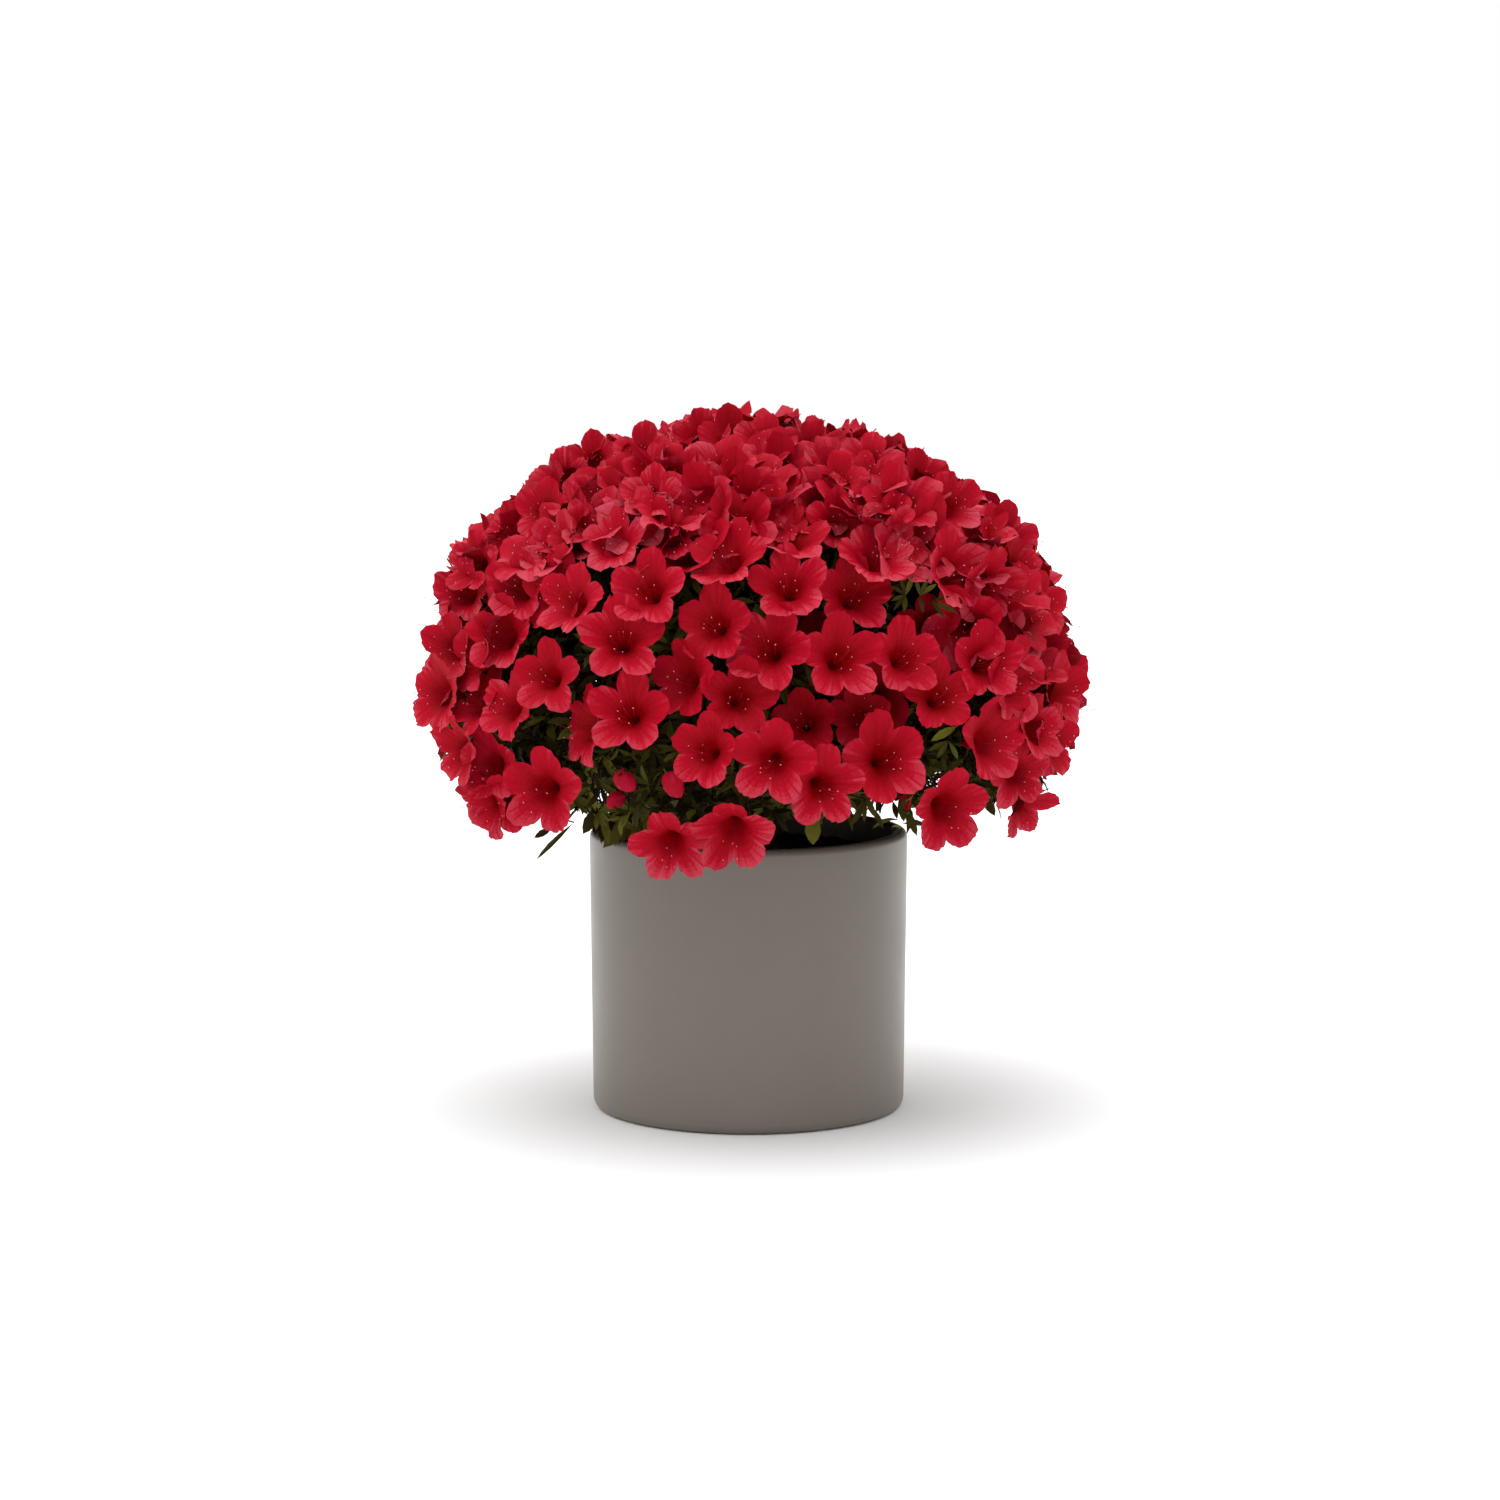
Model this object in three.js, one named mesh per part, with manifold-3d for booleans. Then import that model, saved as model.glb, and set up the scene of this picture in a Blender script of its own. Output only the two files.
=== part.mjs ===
// An evergreen azalea in full bloom, grown as a low round bush in a plain cylindrical pot.
// Millimetres, +Z up. The origin is the centre of the pot's flat underside, and the side
// that is usually seen faces -Y.
//
// The bush has a short stem that stands on the compost and forks at once into a leader and
// two rings of boughs. Each bough carries one mass of leaves and blossom. The masses share
// the dome between them, with a hollow round the fork where only bare limbs are.

import * as THREE from "three";
import { mergeVertices } from "three/addons/utils/BufferGeometryUtils.js";
import Module from "manifold-3d";

const wasm = await Module();
wasm.setup();

// Clearance between two pieces that rest on each other.
const SEAT_GAP = 0.3;

const POT = {
  height: 176,
  rimRadius: 100,
  footRadius: 98.3,
  wall: 10,
  floor: 12,
  footRound: 6,
  rimRound: 3,
  roundSteps: 2,
  sides: 40,
};

const COMPOST = {
  belowRim: 14,
  edgeDip: 2,
  flatRadius: 34,
};

const STEM = {
  height: 40,
  radius: 12,
  flare: 9,
  flareFalloff: 4,
  headSwelling: 3,
  swellFrom: 0.35,
  swellTo: 0.8,
  shoulderFrom: 0.85,
  lean: [3, -2],
  sides: 14,
  steps: 9,
};

// The dome, measured from the level where it is widest.
const CROWN = {
  widestLevel: 257,
  radius: 211,
  rise: 184,
  fall: 137,
  lowestLevel: 162,
  massGap: 1.2,
  corner: 8,
};

// The waves that make the dome uneven: how high each is as a share of the dome's size, how
// fast it runs along X, Y and Z, and the angle that it starts at.
const WAVES = [
  { height: 0.014, run: [5, 6, 1], start: 0.7 },
  { height: 0.011, run: [9, -7, 8], start: 0 },
  { height: 0.008, run: [-4, 8, -9], start: 1.9 },
];

// The slope under the crown, which clears the pot's rim and rises towards the stem.
const UNDERSIDE = {
  radius: 106,
  level: 184,
  slopeDegrees: 27,
};

// The rings of masses, from the top down: how many, how high their middles stand as an angle
// from the dome's centre, how far out they lie as a share of the dome, and their boughs.
const RINGS = [
  {
    name: "crown_top",
    bough: "leader",
    count: 1,
    firstAzimuth: 20,
    elevation: 86,
    share: 0.63,
    seat: 56,
    boughRadius: 4.2,
    tipRadius: 2.6,
    startRadius: 1,
    startRise: 1,
    launch: 86,
  },
  {
    name: "crown_upper",
    bough: "upper_bough",
    count: 5,
    firstAzimuth: -110,
    elevation: 37,
    share: 0.63,
    seat: 52,
    boughRadius: 4.0,
    tipRadius: 2.5,
    startRadius: 8.8,
    startRise: 0.86,
    launch: 66,
  },
  {
    name: "crown_lower",
    bough: "lower_bough",
    count: 7,
    firstAzimuth: -90,
    elevation: -13,
    share: 0.69,
    seat: 44,
    boughRadius: 4.6,
    tipRadius: 2.8,
    startRadius: 2,
    startRise: 0.5,
    launch: 34,
  },
];

// How far a mass may stray from its even place in the ring, and the salts that make its two
// angles stray apart.
const STRAY = { degrees: 5, azimuthSalt: 1, elevationSalt: 2, perMass: 10, perRing: 100 };

// The flat patch on a mass where its bough ends, as angles about the middle of the patch.
const SEAT_PATCH = { outerDegrees: 36, innerDegrees: 21 };

const MASS_DETAIL = 4;
const HALVINGS = 30;
const BOUGH = { sides: 7, steps: 6, launchShare: 0.38, landingShare: 0.36 };

const COLOURS = {
  pot: { color: 0x776f68, roughness: 0.55, metalness: 0 },
  compost: { color: 0x1c140f, roughness: 0.95, metalness: 0 },
  bark: { color: 0x5a4638, roughness: 0.85, metalness: 0 },
  foliage: { color: 0xa81a2c, roughness: 0.7, metalness: 0 },
};

const DEGREE = Math.PI / 180;
const UP = new THREE.Vector3(0, 0, 1);
const compostLevel = POT.height - COMPOST.belowRim;
const potInnerRim = POT.rimRadius - POT.wall;
const potInnerFoot = POT.footRadius - POT.wall;
const crownCentre = new THREE.Vector3(0, 0, CROWN.widestLevel);

// A geometry with only its positions, shared vertices merged.
function welded(geometry) {
  const bare = geometry.clone();
  bare.deleteAttribute("normal");
  bare.deleteAttribute("uv");
  return mergeVertices(bare, 1e-4);
}

function toSolid(geometry) {
  const merged = welded(geometry);
  return new wasm.Manifold(
    new wasm.Mesh({
      numProp: 3,
      vertProperties: new Float32Array(merged.attributes.position.array),
      triVerts: new Uint32Array(merged.index.array),
    }),
  );
}

function fromSolid(solid) {
  const mesh = solid.getMesh();
  const geometry = new THREE.BufferGeometry();
  geometry.setAttribute("position", new THREE.BufferAttribute(mesh.vertProperties, 3));
  geometry.setIndex(new THREE.BufferAttribute(mesh.triVerts, 1));
  geometry.computeVertexNormals();
  return geometry;
}

function piece(name, geometry, colour, position = new THREE.Vector3()) {
  const mesh = new THREE.Mesh(geometry, new THREE.MeshStandardMaterial(colour));
  mesh.name = name;
  mesh.position.copy(position);
  return mesh;
}

// A profile of [radius, height] points turned about the Z axis.
function turned(points, sides) {
  const profile = points.map(([radius, height]) => new THREE.Vector2(radius, height));
  return new THREE.LatheGeometry(profile, sides).rotateX(Math.PI / 2);
}

// Points on a quarter round, from one angle to another about a centre.
function quarterRound(centreRadius, centreHeight, round, fromDegrees, toDegrees) {
  const points = [];
  for (let i = 0; i <= POT.roundSteps; i++) {
    const angle = (fromDegrees + ((toDegrees - fromDegrees) * i) / POT.roundSteps) * DEGREE;
    points.push([centreRadius + round * Math.cos(angle), centreHeight + round * Math.sin(angle)]);
  }
  return points;
}

function pot() {
  const { height, rimRadius, footRadius, footRound, rimRound, floor, sides } = POT;
  const profile = [
    [0, 0],
    ...quarterRound(footRadius - footRound, footRound, footRound, -90, 0),
    ...quarterRound(rimRadius - rimRound, height - rimRound, rimRound, 0, 90),
    ...quarterRound(potInnerRim + rimRound, height - rimRound, rimRound, 90, 180),
    [potInnerFoot, floor],
    [0, floor],
  ];
  return piece("pot", turned(profile, sides), COLOURS.pot);
}

// The compost fills the pot to just under the rim, and is a little lower at the wall.
function compost() {
  const top = compostLevel;
  const wallAt = (level) =>
    THREE.MathUtils.mapLinear(level, POT.floor, POT.height, potInnerFoot, potInnerRim) - SEAT_GAP;
  const bottom = POT.floor + SEAT_GAP;
  const edge = top - COMPOST.edgeDip;
  const profile = [
    [0, bottom],
    [wallAt(bottom), bottom],
    [wallAt(edge), edge],
    [COMPOST.flatRadius, top],
    [0, top],
  ];
  return piece("compost", turned(profile, POT.sides), COLOURS.compost);
}

// A closed limb along a curve: rings of points whose radius follows radiusAt, cut flat at both ends.
function limb(curve, radiusAt, sides, steps) {
  const frames = curve.computeFrenetFrames(steps, false);
  const positions = [];
  const faces = [];
  for (let i = 0; i <= steps; i++) {
    const middle = curve.getPointAt(i / steps);
    const radius = radiusAt(i / steps);
    for (let k = 0; k < sides; k++) {
      const angle = (2 * Math.PI * k) / sides;
      const point = middle
        .clone()
        .addScaledVector(frames.normals[i], radius * Math.cos(angle))
        .addScaledVector(frames.binormals[i], radius * Math.sin(angle));
      positions.push(point.x, point.y, point.z);
    }
  }
  const start = curve.getPointAt(0);
  const end = curve.getPointAt(1);
  positions.push(start.x, start.y, start.z, end.x, end.y, end.z);
  const startMiddle = sides * (steps + 1);
  const endMiddle = startMiddle + 1;
  for (let k = 0; k < sides; k++) {
    const next = (k + 1) % sides;
    for (let i = 0; i < steps; i++) {
      const near = i * sides;
      const far = near + sides;
      faces.push(near + k, near + next, far + next, near + k, far + next, far + k);
    }
    faces.push(startMiddle, next, k);
    faces.push(endMiddle, steps * sides + k, steps * sides + next);
  }
  const geometry = new THREE.BufferGeometry();
  geometry.setAttribute("position", new THREE.Float32BufferAttribute(positions, 3));
  geometry.setIndex(faces);
  return geometry;
}

// The short stem: wide where it spreads into the roots, and swollen again at the fork.
const stemFoot = new THREE.Vector3(0, 0, compostLevel + SEAT_GAP);
const stemHead = new THREE.Vector3(...STEM.lean, compostLevel + SEAT_GAP + STEM.height);
const stemLine = new THREE.CubicBezierCurve3(
  stemFoot,
  stemFoot.clone().addScaledVector(UP, STEM.height / 3),
  stemHead.clone().addScaledVector(UP, -STEM.height / 3),
  stemHead,
);

function stemRadius(along) {
  const { radius, flare, flareFalloff, headSwelling, swellFrom, swellTo, shoulderFrom } = STEM;
  const root = flare * (1 - along) ** flareFalloff;
  const head = headSwelling * THREE.MathUtils.smoothstep(along, swellFrom, swellTo);
  const shoulder = headSwelling * THREE.MathUtils.smoothstep(along, shoulderFrom, 1);
  return radius + root + head - shoulder;
}

const stemSolid = toSolid(limb(stemLine, stemRadius, STEM.sides, STEM.steps));

// The stem with a gap round it and over its head, which is cut from each bough's root.
function stemWithGap() {
  const wider = toSolid(
    limb(stemLine, (along) => stemRadius(along) + 2 * SEAT_GAP, STEM.sides, STEM.steps),
  );
  return wider.add(wider.translate([0, 0, SEAT_GAP]));
}

const stemClearance = stemWithGap();

// How many degrees one of a mass's angles strays, the same on every run.
function stray(ringIndex, index, salt) {
  const seed = STRAY.perRing * ringIndex + STRAY.perMass * index + salt;
  return (2 * THREE.MathUtils.seededRandom(seed) - 1) * STRAY.degrees;
}

function direction(azimuthDegrees, elevationDegrees) {
  const azimuth = azimuthDegrees * DEGREE;
  const elevation = elevationDegrees * DEGREE;
  return new THREE.Vector3(
    Math.cos(azimuth) * Math.cos(elevation),
    Math.sin(azimuth) * Math.cos(elevation),
    Math.sin(elevation),
  );
}

// How far the dome's surface lies from the dome's centre along a unit direction.
function domeReach(way) {
  const half = way.z > 0 ? CROWN.rise : CROWN.fall;
  const reach = 1 / Math.hypot(way.x / CROWN.radius, way.y / CROWN.radius, way.z / half);
  const wave = ({ height, run: [x, y, z], start }) =>
    height * Math.sin(x * way.x + y * way.y + z * way.z + start);
  return WAVES.reduce((total, each) => total + reach * wave(each), reach);
}

// Each mass: its middle, the way to its bough, and where on the stem the bough starts.
function planMasses() {
  const plans = [];
  RINGS.forEach((ring, ringIndex) => {
    for (let i = 0; i < ring.count; i++) {
      const alone = ring.count === 1;
      const turn = alone ? 0 : stray(ringIndex, i, STRAY.azimuthSalt);
      const lift = alone ? 0 : stray(ringIndex, i, STRAY.elevationSalt);
      const azimuth = ring.firstAzimuth + (360 * i) / ring.count + turn;
      const way = direction(azimuth, ring.elevation + lift);
      const middle = crownCentre.clone().addScaledVector(way, ring.share * domeReach(way));
      const start = stemLine
        .getPointAt(ring.startRise)
        .addScaledVector(direction(azimuth, 0), ring.startRadius);
      const toBough = start.clone().sub(middle).normalize();
      const number = alone ? "" : `_${i + 1}`;
      plans.push({ ring, azimuth, middle, start, toBough, number });
    }
  });
  return plans;
}

const plans = planMasses();

// The flat limits of one mass, each as a unit normal and its distance from the mass's middle.
function limitsOf(plan) {
  const limits = [];
  for (const other of plans) {
    if (other !== plan) {
      const apart = other.middle.clone().sub(plan.middle);
      const distance = apart.length() / 2 - CROWN.massGap / 2;
      limits.push({ normal: apart.normalize(), distance });
    }
  }
  limits.push({ normal: new THREE.Vector3(0, 0, -1), distance: plan.middle.z - CROWN.lowestLevel });
  const inward = direction(plan.azimuth, 0).negate();
  const slope = UNDERSIDE.slopeDegrees * DEGREE;
  const normal = inward.multiplyScalar(Math.sin(slope)).addScaledVector(UP, -Math.cos(slope));
  const brink = direction(plan.azimuth, 0).multiplyScalar(UNDERSIDE.radius);
  brink.z = UNDERSIDE.level;
  limits.push({ normal, distance: normal.dot(brink.sub(plan.middle)) });
  return limits;
}

// How far the dome reaches from a point inside it along a unit direction, found by halving.
function reachOfDome(from, way) {
  let near = 0;
  let far = 3 * CROWN.radius;
  for (let i = 0; i < HALVINGS; i++) {
    const half = (near + far) / 2;
    const out = from.clone().addScaledVector(way, half).sub(crownCentre);
    const distance = out.length();
    if (distance < domeReach(out.divideScalar(distance))) near = half;
    else far = half;
  }
  return near;
}

// A mass is one cell of the dome: every ray from its middle stops short of its limits, with
// soft corners between them, and the patch round its bough's seat is flat.
function massGeometry(plan) {
  const limits = limitsOf(plan);
  const ball = welded(new THREE.IcosahedronGeometry(1, MASS_DETAIL));
  const place = ball.attributes.position;
  const patchEdge = Math.cos(SEAT_PATCH.outerDegrees * DEGREE);
  const patchFlat = Math.cos(SEAT_PATCH.innerDegrees * DEGREE);
  const way = new THREE.Vector3();
  for (let i = 0; i < place.count; i++) {
    way.fromBufferAttribute(place, i).normalize();
    const towardsBough = way.dot(plan.toBough);
    const reaches = [reachOfDome(plan.middle, way)];
    for (const { normal, distance } of limits) {
      const facing = way.dot(normal);
      if (facing > 0) reaches.push(distance / facing);
    }
    const hard = Math.min(...reaches);
    const seat = towardsBough > 0 ? plan.ring.seat / towardsBough : Infinity;
    const closeness = [...reaches, seat].reduce((sum, each) => sum + each ** -CROWN.corner, 0);
    const soft = closeness ** (-1 / CROWN.corner);
    const flat = THREE.MathUtils.smoothstep(towardsBough, patchEdge, patchFlat);
    const reach = flat > 0 ? Math.min(hard, THREE.MathUtils.lerp(soft, seat, flat)) : soft;
    place.setXYZ(i, way.x * reach, way.y * reach, way.z * reach);
  }
  ball.computeVertexNormals();
  return ball;
}

function mass(plan) {
  return piece(plan.ring.name + plan.number, massGeometry(plan), COLOURS.foliage, plan.middle);
}

// A bough leaves the stem upwards, bends over, and meets its mass square on its seat.
function bough(plan) {
  const { ring, start, middle, toBough, azimuth } = plan;
  const end = middle.clone().addScaledVector(toBough, ring.seat + SEAT_GAP);
  const length = end.distanceTo(start);
  const line = new THREE.CubicBezierCurve3(
    start,
    start.clone().addScaledVector(direction(azimuth, ring.launch), BOUGH.launchShare * length),
    end.clone().addScaledVector(toBough, BOUGH.landingShare * length),
    end,
  );
  const radiusAt = (along) => THREE.MathUtils.lerp(ring.boughRadius, ring.tipRadius, along);
  const whole = toSolid(limb(line, radiusAt, BOUGH.sides, BOUGH.steps));
  return piece(ring.bough + plan.number, fromSolid(whole.subtract(stemClearance)), COLOURS.bark);
}

const azalea = new THREE.Group();
azalea.name = "azalea_in_pot";

const container = new THREE.Group();
container.add(pot(), compost());

const limbs = new THREE.Group();
limbs.add(piece("stem", fromSolid(stemSolid), COLOURS.bark), ...plans.map(bough));

const foliage = new THREE.Group();
foliage.add(...plans.map(mass));

azalea.add(container, limbs, foliage);

export default azalea;
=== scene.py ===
"""A potted azalea in full bloom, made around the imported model.

The frame gives every place: the masses of the crown give the dome that the blossom lies on,
and the limbs give the points that the twigs grow on from. Lengths are in metres, or in
millimetres where a name or a comment says so or a value is multiplied by MM.
"""

import functools
import math
from collections import namedtuple

import bmesh
import bpy
import numpy as np
from bpy.props import FloatProperty, FloatVectorProperty, IntProperty, PointerProperty
from mathutils import Matrix, Vector
from mathutils.bvhtree import BVHTree


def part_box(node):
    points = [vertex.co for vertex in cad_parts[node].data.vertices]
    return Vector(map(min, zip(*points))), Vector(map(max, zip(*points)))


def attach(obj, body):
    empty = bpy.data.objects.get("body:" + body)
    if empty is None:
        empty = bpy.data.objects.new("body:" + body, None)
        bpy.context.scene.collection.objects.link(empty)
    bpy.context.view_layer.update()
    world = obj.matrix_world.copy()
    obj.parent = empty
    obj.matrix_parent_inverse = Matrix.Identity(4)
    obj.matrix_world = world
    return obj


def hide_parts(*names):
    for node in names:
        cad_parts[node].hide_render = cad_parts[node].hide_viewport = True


def rows_of(kind, *rows):
    """Rows of numbers, each as a named tuple of a kind."""
    return [kind(*row) for row in rows]


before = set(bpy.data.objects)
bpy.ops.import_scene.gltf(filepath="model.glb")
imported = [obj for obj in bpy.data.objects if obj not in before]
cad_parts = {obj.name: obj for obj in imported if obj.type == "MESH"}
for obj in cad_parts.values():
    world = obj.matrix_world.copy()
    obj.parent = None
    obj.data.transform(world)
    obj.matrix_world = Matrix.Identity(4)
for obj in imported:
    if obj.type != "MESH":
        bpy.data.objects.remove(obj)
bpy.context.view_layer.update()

bl_info = {
    "name": "Potted azalea",
    "version": (1, 0, 0),
    "blender": (4, 5, 0),
    "location": "View3D > Sidebar > Azalea",
    "description": "Makes an azalea in full bloom in its pot, piece by piece",
    "category": "Add Mesh",
}

MM = 0.001
UP = Vector((0, 0, 1))
FULL_TURN = 2 * math.pi
BLACK = (0, 0, 0)
WHITE = (1, 1, 1)

# The picture that the camera frames, and the width of the camera's sensor in millimetres.
PICTURE_SIDE = 1500
SENSOR_WIDTH = 36

MASSES = sorted(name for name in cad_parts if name.startswith("crown_"))
BOUGHS = sorted(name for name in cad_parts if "bough" in name or name == "leader")
RINGS = ("top", "upper", "lower")

# The soft light: how strong it is from the height that the sine of an angle gives, with a
# white band at the horizon, less light from the sides and most of it from above.
SOFT_LIGHT = ((0, 0.95), (0.12, 0.88), (0.3, 0.66), (0.6, 1.06), (1.0, 2.5))
# Half the side of the paper floor.
FLOOR_HALF = 9.0

# The dome's middle, at the level where it is widest, also as an array, and how far out from it
# nothing of the crown stands.
DOME_MIDDLE = Vector((0, 0, 0.257))
HEART = np.array(DOME_MIDDLE)
PAST_DOME = 0.5
# How far the dome reaches from there, and the share of that within which shoots end.
DOME_REACH = np.array((0.215, 0.215, 0.19))
SHOOT_REACH = 0.97
# How far in front of the pot's middle the crown's face is.
CROWN_FRONT = 0.19

# A bloom seen in the picture: the middle of its face, the deep end of its throat and its
# width, in pixels, then how far it is sunk in the crown in mm and how much paler or darker
# it is painted than most: the darker ones are painted shade, for blooms that lie in shade,
# and the paler ones painted light.
SeenBloom = namedtuple("SeenBloom", "x y throat_x throat_y across sunk tint")
SEEN_BLOOMS = rows_of(
    SeenBloom,
    (621, 638, 623, 646, 88, 0, 0), (628, 712, 633, 718, 86, 0, 0), (647, 588, 655, 598, 80, 4, 0),
    (568, 600, 585, 611, 80, 2, 0), (713, 623, 722, 630, 78, 9, -1),
    (680, 680, 698, 684, 80, 13, -2), (739, 697, 735, 702, 78, 17, -2),
    (703, 751, 716, 754, 75, 6, -1), (581, 727, 607, 731, 80, 8, -1),
    (545, 676, 557, 682, 77, 0, 0), (769, 646, 775, 654, 88, 0, 0), (842, 656, 835, 663, 88, 0, 0),
    (854, 593, 849, 603, 82, 4, 0), (788, 583, 790, 595, 84, 2, 0), (907, 656, 896, 662, 82, 0, 0),
    (928, 626, 926, 632, 66, 24, -2), (941, 694, 932, 702, 78, 7, -2),
    (804, 721, 808, 728, 66, 34, -4), (860, 716, 860, 724, 66, 28, -3),
    (887, 759, 879, 762, 90, 2, 0), (772, 762, 776, 758, 84, 0, 0), (825, 788, 817, 783, 83, 4, 0),
    (951, 810, 937, 803, 87, 0, 0), (994, 741, 973, 743, 86, 2, 0), (988, 661, 976, 666, 82, 2, 0),
    (1033, 650, 1022, 653, 78, 0, 0), (1029, 812, 1010, 794, 70, 0, 0),
    (540, 791, 552, 788, 91, 0, 0), (505, 706, 524, 714, 74, 0, 0), (670, 850, 674, 834, 85, 0, 1),
    (732, 836, 736, 820, 83, 0, 1), (612, 540, 625, 556, 74, 2, 1), (517, 586, 532, 592, 74, 4, 0),
    (499, 635, 514, 642, 78, 4, 0), (815, 525, 817, 541, 68, 4, 0), (877, 553, 870, 573, 82, 0, 1),
    (957, 570, 938, 574, 86, 0, 1), (725, 555, 736, 572, 84, 0, 0), (718, 462, 725, 480, 78, -2, 1),
    (481, 806, 502, 795, 74, 0, 0), (455, 752, 479, 749, 76, 0, 0), (434, 694, 456, 696, 80, 0, 0),
    (1065, 692, 1042, 695, 80, 0, 0), (1057, 742, 1034, 742, 78, 0, 0),
    (592, 457, 594, 473, 62, 4, 0), (641, 450, 645, 465, 64, 2, 1), (701, 437, 703, 451, 64, 4, 1),
    (730, 438, 730, 455, 68, 4, -1), (767, 440, 764, 456, 68, 2, 1), (812, 446, 808, 461, 64, 4, 0),
    (872, 458, 866, 473, 68, 2, 1), (903, 500, 898, 517, 86, -2, 1), (924, 477, 915, 490, 64, 4, 0),
    (954, 504, 941, 514, 70, 2, 0), (650, 494, 655, 510, 64, 0, 1), (682, 476, 688, 492, 60, 8, 0),
    (793, 478, 790, 495, 70, 0, 0), (840, 478, 836, 494, 64, 5, 0), (668, 532, 678, 547, 70, 8, -1),
    (770, 517, 766, 532, 70, 12, -2), (840, 521, 834, 533, 68, 6, 0),
    (559, 478, 572, 489, 68, 0, 1), (541, 510, 554, 519, 66, 2, 0), (508, 533, 523, 540, 66, 2, 0),
    (601, 498, 609, 513, 66, 5, 0), (575, 536, 587, 549, 68, 7, 0), (472, 563, 489, 569, 68, 0, 0),
    (461, 592, 477, 598, 72, 0, 1), (447, 647, 466, 652, 76, 0, 0), (992, 588, 974, 580, 80, 2, 1),
    (1008, 538, 995, 548, 70, 4, 0), (1046, 604, 1028, 611, 68, 2, 0),
    (1041, 728, 1020, 735, 70, 4, 0), (1020, 568, 1003, 575, 66, 8, -1),
    (1068, 672, 1049, 674, 62, 4, 0), (487, 766, 504, 762, 76, 10, 0),
    (499, 805, 507, 792, 66, 9, 0), (1021, 776, 1006, 769, 74, 6, 0),
)

# How far, in pixels, the middle of a bloom's face would stand from its throat if it were seen
# from straight beside it, and the greatest share of that which is taken.
THROAT_OFFSET = 30
MOST_SLANT = 0.95
# How much wider the blooms are than the widths above, which were read between dark gaps.
SEEN_SCALE = 1.06
# How far under the crown's outside the face of a seen bloom lies, in mm.
SEEN_UNDER = 3

# The parts of the picture in which the blooms in front are all named above: left, top, right
# and bottom of each.
NAMED_PARTS = ((560, 545, 905, 880), (470, 630, 1015, 880))

# Places in that part where leaves and shade show between the blooms, and how wide they are.
SeenGap = namedtuple("SeenGap", "x y radius")
SEEN_GAPS = rows_of(
    SeenGap,
    (600, 590, 22), (690, 590, 26), (745, 598, 22), (720, 662, 28), (790, 722, 28), (832, 746, 26),
    (872, 700, 22), (905, 600, 36), (928, 588, 34), (945, 738, 28), (650, 780, 40), (605, 815, 40),
    (700, 800, 34), (770, 805, 34), (905, 800, 34), (515, 745, 24), (718, 503, 14), (832, 567, 20),
    (525, 632, 14), (948, 640, 20), (660, 690, 22), (600, 735, 24), (560, 780, 30), (640, 540, 10),
    (795, 545, 10),
)
# Places where the sky shows through the lower part of the crown.
SEEN_SKY = rows_of(
    SeenGap,
    (936, 780, 6), (895, 797, 5), (890, 811, 6), (918, 814, 6), (570, 815, 4), (585, 820, 4),
    (601, 796, 4),
)
# How far from such a place, in pixels, the leaves keep, and the blooms at the back.
SKY_CLEAR = 3
OPEN_BEHIND = [sky._replace(radius=sky.radius + 32) for sky in SEEN_SKY]

# The crown's outline in the picture, clockwise from its top, and a place in its middle.
CROWN_MIDDLE = (752, 650)
CROWN_OUTLINE = (
    (745, 410), (820, 420), (885, 432), (925, 455), (967, 484), (1000, 500), (1032, 521),
    (1054, 567), (1071, 605), (1077, 640), (1087, 682), (1084, 722), (1071, 757), (1056, 788),
    (1030, 842), (950, 850), (893, 878), (616, 878), (549, 842), (490, 836), (464, 812), (437, 764),
    (421, 722), (419, 680), (424, 640), (436, 600), (449, 552), (468, 520), (508, 500), (536, 476),
    (588, 440), (640, 427), (688, 418),
)
# How far, in pixels, a lobe may stand out of the outline, how far inside it a bloom is moved
# out to it, and how far out of it a bloom is left out.
OUTLINE_PLAY = 2
OUTLINE_PULL = 14
OUTLINE_REACH = 22

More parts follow.
